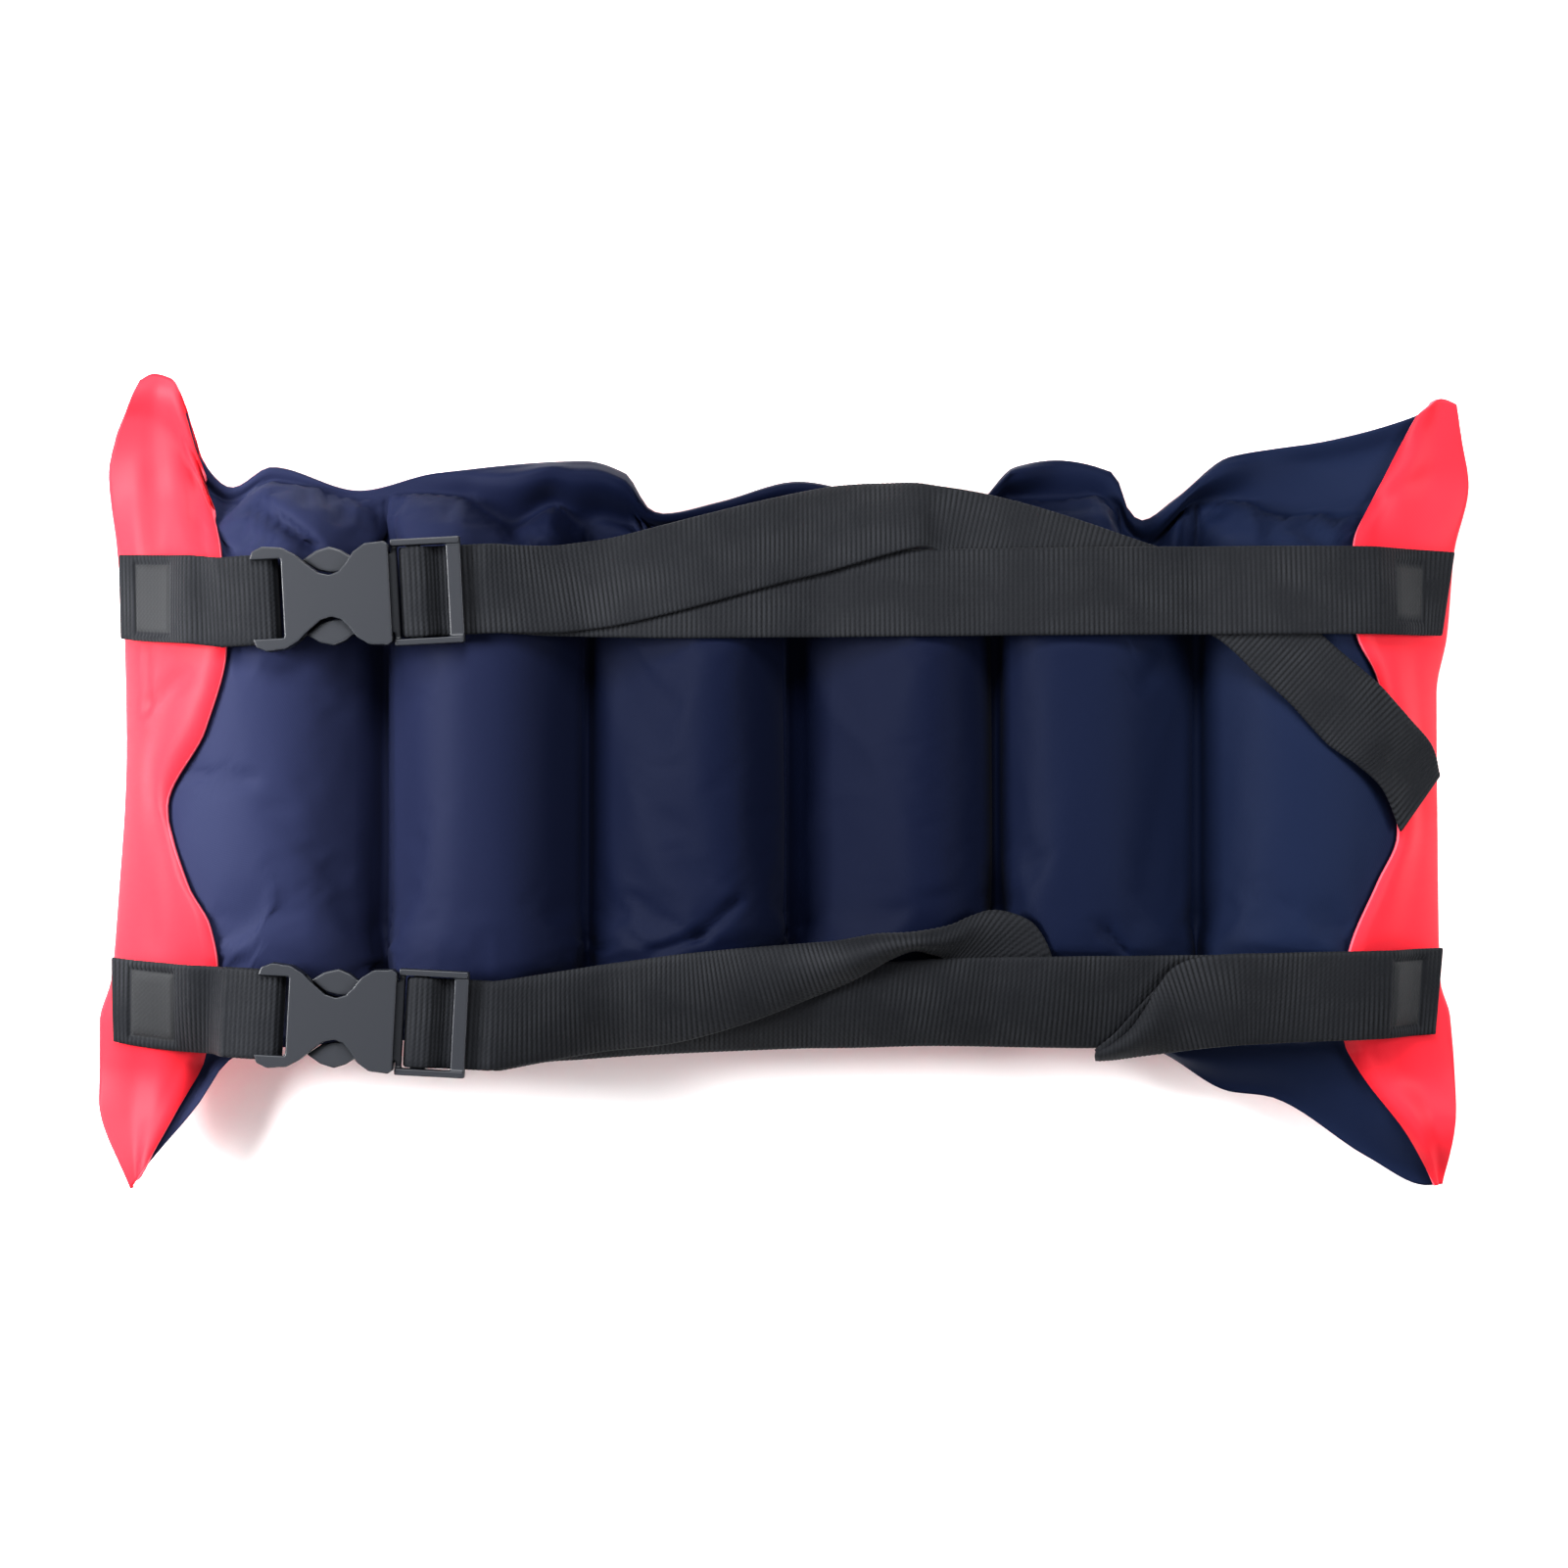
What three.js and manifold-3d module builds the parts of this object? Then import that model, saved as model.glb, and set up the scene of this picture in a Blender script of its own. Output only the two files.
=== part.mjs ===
// An inflatable swim belt lying flat with the wearer's side up. Two coated-fabric walls are
// welded into six upright air tubes, webbing straps are pressed to the ends, and two
// side-release buckles join the straps. Origin: middle of the belt, on the floor.

import * as THREE from 'three';
import { mergeVertices } from 'three/addons/utils/BufferGeometryUtils.js';
import Module from 'manifold-3d';

const wasm = await Module();
wasm.setup();

// Driving dimensions in millimetres: X along the belt, Y across it, Z up from the floor.
const FABRIC_WALL = 1.2;
const SEAM_GAP = 0.3;
const MID_HEIGHT = 26;
const CREST_HEIGHT = 56;
const FLOOR_SQUASH = 4;
const RIM_FLANGE = 3;
const AIR_TOP = 106;
const AIR_BOTTOM = -97;
// Corners curl up beyond these places; the red wall rises over a part of each wrap to lap the navy.
const EAR = { curl: 9, xFrom: 150, xTo: 205, yFrom: 96, yTo: 136 };
const LAP = { width: 3, most: 0.3, gap: 1.8, riseFrom: 0.35, riseTo: 0.75 };

// A fold this steep takes only part of the room beside it, so that its inside stays open.
const SHARP_FOLD = { steepness: 0.7, room: 0.6 };

// Roundness of the tubes: exponents of the rounded section, end tube and tube end.
const TUBE_ROUND = { bend: 2.3, rise: 0.6 };
const OUTER_ROUND = { bend: 1.7, rise: 0.85 };
const TUBE_END = { bend: 6, rise: 0.5 };

// Webbing and how it lies on the belt.
const WEBBING_WIDTH = 30;
const WEBBING = 1.5;
const BED_GAP = 0.9;
const LAYER_PITCH = 1.9;
const STATION_PITCH = 13;
const BRIDGE = { radius: 170, endRadius: 9, acrossRadius: 40, reach: 36, step: 4, acrossReach: 12 };
const END_ZONE = { from: 182, to: 212 };

// Side-release buckle, in its own frame: X along the strap, Z up from the strap bed.
const BUCKLE = {
  socketLeft: -35.3, socketLow: 0.2, socketHigh: 9.6, socketEdge: 0.9,
  barRight: -29.6, slotRight: -24.6, slotHalf: 15.6, barLow: 2.2, barHigh: 5.2,
  cavityLeft: -21, cavityHalf: 14, cavityLow: 2, cavityHigh: 7.6,
  baseLeft: 5, baseHalf: 13.2, baseHigh: 5.4, shoulderLeft: 11.9, shoulderRight: 14,
  midLeft: 17.2, midRight: 21.6, midLow: 2.2, midHigh: 5.6,
  endLeft: 30.5, endRight: 35.4, endLow: 3.8, endHigh: 7.4,
  railInner: 15.6, railOuter: 17.8, railLow: 1, railHigh: 8, railEdge: 0.5, railRight: 35,
  prongLow: 2.6, prongHigh: 7, prongEdge: 0.4, beyond: 20,
};
const BUCKLE_PLACES = [
  { name: 'upper', x: -142.7, y: 63.2, leanDegrees: 3 },
  { name: 'lower', x: -141.3, y: -78.8, leanDegrees: -3 },
];

// A table of rows with named columns.
function table(columns, rows) {
  return rows.map((row) => Object.fromEntries(columns.map((name, i) => [name, row[i]])));
}

// Weld lines between the six tubes, and the part of each middle tube's width where its crest is.
const TUBE_SEAMS = [-135.7, -67.3, 1, 71.7, 140.7];
const TUBE_CRESTS = [0.47, 0.62, 0.63, 0.36];

// Outline of the lying belt: the rims from the left corner to the right one.
const TOP_RIM = table(['x', 'y'], [
  [-219, 137], [-214, 139.3], [-208, 137.7], [-203.5, 129], [-199.7, 112.7],
  [-188.7, 101.3], [-175, 108.3], [-145.3, 100.3], [-119, 106.3], [-68, 110.3],
  [-54, 106], [-46, 94], [-41.7, 92.3], [-22.3, 96.3], [5, 103.3], [30, 98],
  [52, 92], [66, 96], [78.7, 108.3], [93, 110.7], [112.7, 106.3], [118, 93], [122, 90],
  [133, 97], [152.3, 111.7], [187, 117.3], [215.3, 125.3], [223.7, 131], [229, 129],
]);
const BOTTOM_RIM = table(['x', 'y'], [
  [-222.3, -137.7], [-217, -130], [-200, -109], [-189, -92.3], [-140, -88], [0, -84],
  [100, -86], [127, -91.3], [153.3, -105.7], [166, -107.3], [200.3, -128], [221, -138], [226.5, -137.5],
]);

// Outline of the ends, and the wavy joins where the red wall laps over the navy one.
const LEFT_EDGE = table(['y', 'x'], [
  [137, -219], [127.7, -223.7], [117.3, -228.3], [105, -231], [80, -228.3], [49.3, -225.7],
  [10.3, -225], [-41.3, -228], [-66.7, -230.3], [-81.3, -234.3], [-106.7, -234.3], [-137.7, -222.3],
]);
const LEFT_JOIN = table(['y', 'x'], [
  [112.7, -199.7], [96, -195.3], [78.3, -190.3], [47, -187.3], [18.3, -194.7], [-8, -208.6],
  [-34.3, -201], [-48, -193.3], [-62, -191], [-93, -196.3], [-111.3, -206.7], [-130, -217],
]);
const RIGHT_JOIN = table(['y', 'x'], [
  [125.3, 215.3], [98, 201.3], [82, 193.3], [64, 191], [50.3, 193], [35.7, 200], [6.7, 206.7],
  [-17, 207.7], [-33.3, 200.3], [-55.3, 190.7], [-70, 188], [-86, 190], [-97.7, 196],
  [-119.7, 212.5], [-138, 221],
]);
const RIGHT_EDGE = table(['y', 'x'], [
  [129, 229], [117.3, 231.3], [101.7, 234.3], [78.7, 229.3], [51, 227], [31, 223.3], [-47, 224],
  [-67.7, 224.7], [-79.3, 228], [-107, 229.7], [-128.3, 228], [-137.5, 226.5],
]);

// Main dents in the upper surface: a line, the dent's half width and its depth.
const DENTS = table(['x0', 'y0', 'x1', 'y1', 'width', 'depth'], [
  [-223, 105, -210, 81, 7, 4],
  [-82, 95, -54, 92, 6, 6],
  [72, 99, 98, 98, 6, 5],
  [125, 82, 153, 101, 6, 6],
  [-17, -40, -44, -56, 5, 3],
]);

const { lerp, clamp, smoothstep } = THREE.MathUtils;

// A smooth curve through a table's rows that makes no overshoot between them.
function curveThrough(rows, along, value) {
  const sorted = [...rows].sort((a, b) => a[along] - b[along]);
  const xs = sorted.map((row) => row[along]);
  const ys = sorted.map((row) => row[value]);
  const steps = xs.slice(1).map((x, i) => (ys[i + 1] - ys[i]) / (x - xs[i]));
  const slopes = xs.map((_, i) => {
    const before = steps[Math.max(i - 1, 0)];
    const after = steps[Math.min(i, steps.length - 1)];
    return before * after <= 0 ? 0 : 2 * before * after / (before + after);
  });
  return (place) => {
    const x = clamp(place, xs[0], xs.at(-1));
    const i = clamp(xs.findIndex((end) => end >= x) - 1, 0, steps.length - 1);
    const width = xs[i + 1] - xs[i];
    const t = (x - xs[i]) / width;
    const start = ys[i] * (1 + 2 * t) + width * slopes[i] * t;
    const end = ys[i + 1] * (3 - 2 * t) + width * slopes[i + 1] * (t - 1);
    return start * (1 - t) ** 2 + end * t ** 2;
  };
}

const topRim = curveThrough(TOP_RIM, 'x', 'y');
const bottomRim = curveThrough(BOTTOM_RIM, 'x', 'y');
const leftEdge = curveThrough(LEFT_EDGE, 'y', 'x');
const leftJoin = curveThrough(LEFT_JOIN, 'y', 'x');
const rightJoin = curveThrough(RIGHT_JOIN, 'y', 'x');
const rightEdge = curveThrough(RIGHT_EDGE, 'y', 'x');

// Lines that run across the belt from the lower rim to the upper one, left to right.
function acrossLine(xAt, low, high) {
  return (v) => ({ x: xAt(lerp(low, high, v)), y: lerp(low, high, v) });
}

const ACROSS_LINES = [
  acrossLine(leftEdge, LEFT_EDGE.at(-1).y, LEFT_EDGE[0].y),
  acrossLine(leftJoin, LEFT_JOIN.at(-1).y, LEFT_JOIN[0].y),
  ...TUBE_SEAMS.map((x) => acrossLine(() => x, bottomRim(x), topRim(x))),
  acrossLine(rightJoin, RIGHT_JOIN.at(-1).y, RIGHT_JOIN[0].y),
  acrossLine(rightEdge, RIGHT_EDGE.at(-1).y, RIGHT_EDGE[0].y),
];
const LEFT_WRAP = 0;
const RIGHT_WRAP = ACROSS_LINES.length - 2;

// A place in plan: part way (f) across a bay between two lines, and part way (v) up it.
function planPoint(bay, f, v) {
  const [left, right] = [ACROSS_LINES[bay], ACROSS_LINES[bay + 1]];
  const low = bottomRim(lerp(left(0).x, right(0).x, f));
  const high = topRim(lerp(left(1).x, right(1).x, f));
  return { x: lerp(left(v).x, right(v).x, f), y: lerp(low, high, v) };
}

// Height of a rounded section at a part f of its width, from 0 at the sides to 1.
function rounded(f, { bend, rise }) {
  return (1 - Math.abs(2 * clamp(f, 0, 1) - 1) ** bend) ** rise;
}

function tubeSection(x, y) {
  const first = TUBE_SEAMS[0];
  const last = TUBE_SEAMS.at(-1);
  if (x < first) {
    const f = (x - leftEdge(y)) / (first - leftEdge(y));
    return rounded(f, f < 0.5 ? OUTER_ROUND : TUBE_ROUND);
  }
  if (x > last) {
    const f = (rightEdge(y) - x) / (rightEdge(y) - last);
    return rounded(f, f < 0.5 ? OUTER_ROUND : TUBE_ROUND);
  }
  const i = Math.max(TUBE_SEAMS.findIndex((seam) => seam >= x), 1);
  const part = (x - TUBE_SEAMS[i - 1]) / (TUBE_SEAMS[i] - TUBE_SEAMS[i - 1]);
  return rounded(part ** (Math.log(0.5) / Math.log(TUBE_CRESTS[i - 1])), TUBE_ROUND);
}

// How full of air the belt is at a place, from 0 at welds and rims to 1 on a crest.
function inflation(x, y) {
  const low = Math.max(bottomRim(x) + RIM_FLANGE, AIR_BOTTOM);
  const high = Math.min(topRim(x) - RIM_FLANGE, AIR_TOP);
  return tubeSection(x, y) * rounded((y - low) / (high - low), TUBE_END);
}

function midHeight(x, y) {
  const corner = smoothstep(Math.abs(x), EAR.xFrom, EAR.xTo) * smoothstep(Math.abs(y), EAR.yFrom, EAR.yTo);
  return MID_HEIGHT + EAR.curl * corner;
}

function dentDepth(x, y) {
  return DENTS.reduce((sum, { x0, y0, x1, y1, width, depth }) => {
    const along = new THREE.Vector2(x1 - x0, y1 - y0);
    const from = new THREE.Vector2(x - x0, y - y0);
    const t = clamp(from.dot(along) / along.lengthSq(), 0, 1);
    const away = from.addScaledVector(along, -t).length() / width;
    return sum + depth * Math.exp(-away * away);
  }, 0);
}

function topHeight(x, y) {
  const air = inflation(x, y);
  const flat = midHeight(x, y) + SEAM_GAP / 2 + FABRIC_WALL;
  const rise = CREST_HEIGHT - MID_HEIGHT - SEAM_GAP / 2 - FABRIC_WALL;
  return flat + air * (rise - dentDepth(x, y));
}

function underHeight(x, y) {
  const flat = midHeight(x, y) - SEAM_GAP / 2 - FABRIC_WALL;
  return Math.max(0, flat - inflation(x, y) * (flat + FLOOR_SQUASH));
}

// Rise of the red wall where it laps over the navy one, for a part f of a wrap from edge to join.
function lapRise(f) {
  return (FABRIC_WALL + LAP.gap) * smoothstep(f, LAP.riseFrom, LAP.riseTo);
}

function fabricTop(x, y) {
  const wrapLeft = (x - leftEdge(y)) / (leftJoin(y) - leftEdge(y));
  const wrapRight = (rightEdge(y) - x) / (rightEdge(y) - rightJoin(y));
  const wrap = Math.min(wrapLeft, wrapRight);
  return topHeight(x, y) + (wrap < 1 ? lapRise(wrap) : 0);
}

// A closed body from a grid of outer points, thickened inwards. grid[column][row].
function clothWall(grid, thickness, turned) {
  const columns = grid.length;
  const rows = grid[0].length;
  const last = columns - 1;
  const end = rows - 1;
  const inward = (c, r) => {
    const before = grid[Math.max(c - 1, 0)][r];
    const after = grid[Math.min(c + 1, last)][r];
    const across = after.clone().sub(before);
    const along = grid[c][Math.min(r + 1, end)].clone().sub(grid[c][Math.max(r - 1, 0)]);
    const normal = across.clone().cross(along).normalize().multiplyScalar(turned ? 1 : -1);
    const room = SHARP_FOLD.room * Math.min(...[before, after].filter((p) => p !== grid[c][r])
      .map((p) => Math.hypot(p.x - grid[c][r].x, p.y - grid[c][r].y)));
    const sideways = Math.hypot(normal.x, normal.y);
    return normal.multiplyScalar(sideways > SHARP_FOLD.steepness ? Math.min(thickness, room) : thickness);
  };
  const points = [];
  grid.forEach((column) => column.forEach((p) => points.push(p)));
  grid.forEach((column, c) => column.forEach((p, r) => points.push(p.clone().add(inward(c, r)))));
  const outer = (c, r) => c * rows + r;
  const inner = (c, r) => columns * rows + c * rows + r;
  const triangles = [];
  const quad = (a, b, c, d) => {
    if (turned) triangles.push(a, c, b, a, d, c);
    else triangles.push(a, b, c, a, c, d);
  };
  for (let c = 0; c < last; c += 1) {
    for (let r = 0; r < end; r += 1) {
      quad(outer(c, r), outer(c + 1, r), outer(c + 1, r + 1), outer(c, r + 1));
      quad(inner(c, r), inner(c, r + 1), inner(c + 1, r + 1), inner(c + 1, r));
    }
    quad(outer(c, 0), inner(c, 0), inner(c + 1, 0), outer(c + 1, 0));
    quad(outer(c, end), outer(c + 1, end), inner(c + 1, end), inner(c, end));
  }
  for (let r = 0; r < end; r += 1) {
    quad(outer(0, r), outer(0, r + 1), inner(0, r + 1), inner(0, r));
    quad(outer(last, r), inner(last, r), inner(last, r + 1), outer(last, r + 1));
  }
  const geometry = new THREE.BufferGeometry();
  geometry.setFromPoints(points);
  geometry.setIndex(triangles);
  return geometry;
}

// Grid lines of the two walls: closer together at the rims, weld lines and joins.
function closerAtEnds(steps) {
  return Array.from({ length: steps + 1 }, (_, i) => (1 - Math.cos(Math.PI * i / steps)) / 2);
}

const ROW_PLACES = closerAtEnds(16);
const TUBE_PLACES = closerAtEnds(7).slice(0, -1);
const END_PLACES = [0, 0.3, 0.58, 0.8, 0.94];
const WRAP_PLACES = [0.16, 0.45, 0.72];

// Part of a wrap's width, from edge to join, where the navy wall ends under the red one.
function lapPlace(bay, v) {
  const width = Math.abs(ACROSS_LINES[bay](v).x - ACROSS_LINES[bay + 1](v).x);
  return 1 - Math.min(LAP.width / width, LAP.most);
}

// A place on a wrap, counted from its outer edge whichever end of the belt it is at.
function wrapPoint(bay, fromEdge, v) {
  return planPoint(bay, bay === LEFT_WRAP ? fromEdge : 1 - fromEdge, v);
}

const BODY_COLUMNS = ACROSS_LINES.slice(1, -2).flatMap((_, i, bays) => {
  const bay = i + 1;
  if (i === 0) return END_PLACES.map((f) => ({ bay, f }));
  if (i === bays.length - 1) return [0, ...END_PLACES.map((f) => 1 - f).reverse()].map((f) => ({ bay, f }));
  return TUBE_PLACES.map((f) => ({ bay, f }));
});

function gridColumn(planAt, heightAt) {
  return ROW_PLACES.map((v) => {
    const { x, y } = planAt(v);
    return new THREE.Vector3(x, y, heightAt(x, y, v));
  });
}

function innerPanel() {
  const lapColumn = (bay) => gridColumn((v) => wrapPoint(bay, lapPlace(bay, v), v), topHeight);
  const body = BODY_COLUMNS.map(({ bay, f }) => gridColumn((v) => planPoint(bay, f, v), topHeight));
  return clothWall([lapColumn(LEFT_WRAP), ...body, lapColumn(RIGHT_WRAP)], FABRIC_WALL, false);
}

function outerPanel() {
  const upperWrap = (bay) => {
    const places = [...WRAP_PLACES.map((f) => (v) => f * lapPlace(bay, v)), (v) => lapPlace(bay, v), () => 1];
    return places.map((place) => gridColumn(
      (v) => wrapPoint(bay, place(v), v),
      (x, y, v) => topHeight(x, y) + lapRise(place(v)),
    ));
  };
  const lowerWrap = (bay) => WRAP_PLACES.map((f) => gridColumn((v) => wrapPoint(bay, f, v), underHeight));
  const edge = (bay) => gridColumn((v) => wrapPoint(bay, 0, v), midHeight);
  const body = BODY_COLUMNS.map(({ bay, f }) => gridColumn((v) => planPoint(bay, f, v), underHeight));
  return clothWall([
    ...upperWrap(LEFT_WRAP).reverse(), edge(LEFT_WRAP), ...lowerWrap(LEFT_WRAP),
    ...body,
    ...lowerWrap(RIGHT_WRAP).reverse(), edge(RIGHT_WRAP), ...upperWrap(RIGHT_WRAP),
  ], FABRIC_WALL, true);
}

// Height of a taut strap's bed: the fabric, bridged from crest to crest by a shallow arc.
function strapBed(x, y) {
  const atEnd = smoothstep(Math.abs(x), END_ZONE.from, END_ZONE.to);
  const radius = lerp(BRIDGE.radius, BRIDGE.endRadius, atEnd);
  const acrossRadius = lerp(BRIDGE.acrossRadius, BRIDGE.endRadius, atEnd);
  let bed = 0;
  for (let dx = -BRIDGE.reach; dx <= BRIDGE.reach; dx += BRIDGE.step) {
    for (let dy = -BRIDGE.acrossReach; dy <= BRIDGE.acrossReach; dy += BRIDGE.step) {
      const drop = dx * dx / (2 * radius) + dy * dy / (2 * acrossRadius);
      bed = Math.max(bed, fabricTop(x + dx, y + dy) - drop);
    }
  }
  return bed;
}

// Stations of webbing that lies on the belt: points at its two edges and middle, on the middle
// of its thickness. The rows give the edges in plan, the layers under it and a raised ridge.
function lyingStations(rows) {
  const upperEdge = smoothPath(rows.map(({ ax, ay, layer }) => new THREE.Vector3(ax, ay, layer)));
  const lowerEdge = smoothPath(rows.map(({ bx, by, ridge }) => new THREE.Vector3(bx, by, ridge ?? 0)));
  const spans = rows.length - 1;
  const places = rows.slice(0, -1).flatMap((row, i) => {
    const steps = Math.ceil(Math.hypot(rows[i + 1].ax - row.ax, rows[i + 1].ay - row.ay) / STATION_PITCH);
    return Array.from({ length: steps }, (_, step) => (i + step / steps) / spans);
  });
  return [...places, 1].map((place) => {
    const a = upperEdge.getPoint(place);
    const b = lowerEdge.getPoint(place);
    return [0, 0.5, 1].map((t) => {
      const x = lerp(a.x, b.x, t);
      const y = lerp(a.y, b.y, t);
      const lift = BED_GAP + WEBBING / 2 + a.z * LAYER_PITCH + (t === 0.5 ? b.z : 0);
      return new THREE.Vector3(x, y, strapBed(x, y) + lift);
    });
  });
}

function smoothPath(points) {
  return new THREE.CatmullRomCurve3(points, false, 'centripetal');
}

function buckleFrame({ x, y, leanDegrees }) {
  const beds = [BUCKLE.socketLeft, 0, BUCKLE.endRight].flatMap((dx) => (
    [-BUCKLE.railOuter, 0, BUCKLE.railOuter].map((dy) => strapBed(x + dx, y + dy))
  ));
  const frame = new THREE.Group();
  frame.position.set(x, y, Math.max(...beds) + BED_GAP);
  frame.rotation.z = THREE.MathUtils.degToRad(leanDegrees);
  frame.updateMatrixWorld();
  return frame;
}

// Route of the webbing round the clip's middle bar, and round the socket's bar.
const CLIP_LOOP = table(['x', 'z'], [
  [46, 0.9], [36, 0.75], [25, 0.75], [17.8, 0.75], [15.6, 1.5], [15.3, 3.4], [15.6, 5.4], [16.6, 6.7],
  [19.4, 7], [22.4, 6.6], [24.4, 5], [26.4, 3.4], [29, 2.7], [36, 2.65], [46, 2.9],
]);
const SOCKET_LOOP = table(['x', 'z'], [
  [-46, 3.6], [-40, 5.4], [-36, 6.3], [-32.2, 6.5], [-28.8, 6.1], [-27.1, 4.5], [-27, 2.7],
  [-28.6, 1.1], [-31, 0.75], [-38, 0.75], [-47, 0.75],
]);

// Anchor straps: plan edges of the stretch from the pressed end to the buckle.
const EDGE_COLUMNS = ['ax', 'ay', 'bx', 'by', 'layer', 'ridge'];
const ANCHOR_RUNS = {
  upper: table(EDGE_COLUMNS, [
    [-226.4, 78, -225.4, 49.4, 0], [-219, 77.8, -218, 48.4, 0], [-209, 77.4, -208, 47.7, 0.1],
    [-201, 77, -200, 47.1, 0.5], [-195, 76.5, -193.5, 46.4, 1],
  ]),
  lower: table(EDGE_COLUMNS, [
    [-228.7, -59, -228.4, -87.7, 0], [-220, -59.8, -221, -89, 0], [-209, -60.5, -210, -90.3, 0.1],
    [-200, -60.9, -201, -90.9, 0.5], [-192, -61.2, -194, -91.2, 1],
  ]),
};

// Waist straps: plan edges from the pressed right end to the buckle, with the lower one's pleat.
const WAIST_RUNS = {
  upper: table(EDGE_COLUMNS, [
    [228.6, 79, 223.4, 50.4, 0], [215, 79.6, 214, 50.3, 0], [200, 80, 200, 50.3, 0.4],
    [184, 80, 184, 50.3, 1.2], [150, 80, 150, 50.2, 1.2], [110, 79.6, 110, 50, 1.2],
    [78, 79.2, 78, 49.8, 1.2], [56, 79, 56, 49.6, 0.8], [34, 78.8, 34, 49.5, 0],
    [0, 78.6, 0, 49.2, 0], [-40, 78.6, -40, 49, 0], [-80, 79.6, -79, 49.7, 0],
  ]),
  lower: table(EDGE_COLUMNS, [
    [224, -55.8, 221.8, -85.2, 0], [205, -56, 205, -86, 0], [175, -56.5, 174, -87, 0],
    [148, -57, 144, -88, 0], [126, -57.6, 114, -89, 0], [110, -58, 94, -90, 0],
    [106, -58, 90, -90, 0.5], [110, -58, 94, -90, 1], [120, -58, 100, -91, 1],
    [124.4, -58, 104, -91.6, 1.5], [120, -58, 100, -91, 2.05], [104, -57.8, 88, -90.6, 2],
    [80, -58, 72, -89, 1.6], [52, -58.6, 48, -88.6, 1.2], [28, -60.4, 26, -89.4, 0.4],
    [0, -61.5, 0, -90, 0], [-40, -62.6, -40, -91.8, 0], [-80, -65, -80, -94.6, 0],
  ]),
};

// Loose tails from the buckle: the upper one slips under its strap, the lower one is pinched
// at a neck and tucks under its strap.
const TAILS = {
  upper: table(EDGE_COLUMNS, [
    [-79, 79.4, -74, 50.6, 1.15], [-60, 82.4, -56, 53.2, 1.15], [-32, 89.6, -30, 59.4, 1.15],
    [-2.7, 97, -2.7, 67, 1.15], [17, 101, 17, 72, 1.3], [34, 102, 34, 77, 1.6], [45, 102, 45, 79.6, 1.9],
    [52, 101, 50, 79.2, 1.1], [66, 98.6, 60, 74, 0.1], [85, 93.6, 78, 65.4, 0], [104, 87.4, 96, 58, 0],
    [124, 80.5, 112, 55, 0], [145, 74.5, 131, 53.6, 0], [161.4, 67.4, 145, 49.3, 0],
    [173.4, 56.6, 157, 38.5, 0], [186.4, 44.8, 170, 26.7, 0], [200, 33.3, 182.3, 13.3, 0],
    [211, 22, 192, 6.5, 0], [219.4, 13, 201.3, -2, 0], [222.4, 3, 207.7, -16, 0],
  ]),
  lower: table(EDGE_COLUMNS, [
    [-82, -64.4, -82, -94.4, 1.15], [-67, -61.8, -67, -91.8, 1.15], [-37, -57.4, -37, -87.6, 1.15],
    [-18, -55.4, -12, -80.4, 1.2, 2], [2, -54, 8, -72.4, 1.2, 5], [18, -52.8, 24, -65.4, 1.3, 9],
    [31, -50.6, 36, -58.4, 1.2, 11], [43.4, -50, 43.6, -55.6, 0.9, 12], [56, -47.6, 50, -57, 0.5, 9],
    [70, -42.4, 57, -60, 0.2, 4], [84, -47, 60, -66, 0, 1], [90, -58, 61, -72, 0], [89, -72, 60, -78, 0],
  ]),
};

// A strap of webbing through its stations, as a closed body.
function webbingStrap(stations) {
  const last = stations.length - 1;
  const upper = [0, 1, 2].map((c) => stations.map((station, r) => {
    const across = station[Math.min(c + 1, 2)].clone().sub(station[Math.max(c - 1, 0)]);
    const along = stations[Math.min(r + 1, last)][c].clone().sub(stations[Math.max(r - 1, 0)][c]);
    return station[c].clone().addScaledVector(across.cross(along).normalize(), WEBBING / 2);
  }));
  return clothWall(upper, WEBBING, false);
}

function loopStations(frame, rows) {
  const path = smoothPath(rows.map(({ x, z }) => new THREE.Vector3(x, 0, z)));
  const steps = 2 * (rows.length - 1);
  return Array.from({ length: steps + 1 }, (_, i) => {
    const { x, z } = path.getPoint(i / steps);
    return [1, 0, -1].map((side) => frame.localToWorld(new THREE.Vector3(x, side * WEBBING_WIDTH / 2, z)));
  });
}

function anchorStrap(place) {
  const loop = loopStations(buckleFrame(place), SOCKET_LOOP);
  return webbingStrap([...lyingStations(ANCHOR_RUNS[place.name]), ...loop]);
}

function waistStrap(place) {
  const loop = loopStations(buckleFrame(place), CLIP_LOOP);
  return webbingStrap([
    ...lyingStations(WAIST_RUNS[place.name]), ...loop, ...lyingStations(TAILS[place.name]),
  ]);
}

// Solids joined and cut by boolean operations.
function solidFrom(geometry) {
  geometry.deleteAttribute('normal');
  geometry.deleteAttribute('uv');
  const merged = mergeVertices(geometry, 1e-4);
  return new wasm.Manifold(new wasm.Mesh({
    numProp: 3,
    vertProperties: new Float32Array(merged.attributes.position.array),
    triVerts: new Uint32Array(merged.index.array),
  }));
}

function geometryFrom(solid) {
  const { vertProperties, triVerts } = solid.getMesh();
  const geometry = new THREE.BufferGeometry();
  geometry.setAttribute('position', new THREE.BufferAttribute(vertProperties, 3));
  geometry.setIndex(new THREE.BufferAttribute(triVerts, 1));
  return geometry;
}

function block(xLow, xHigh, yLow, yHigh, zLow, zHigh) {
  const box = new THREE.BoxGeometry(xHigh - xLow, yHigh - yLow, zHigh - zLow);
  return solidFrom(box.translate((xLow + xHigh) / 2, (yLow + yHigh) / 2, (zLow + zHigh) / 2));
}

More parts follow.
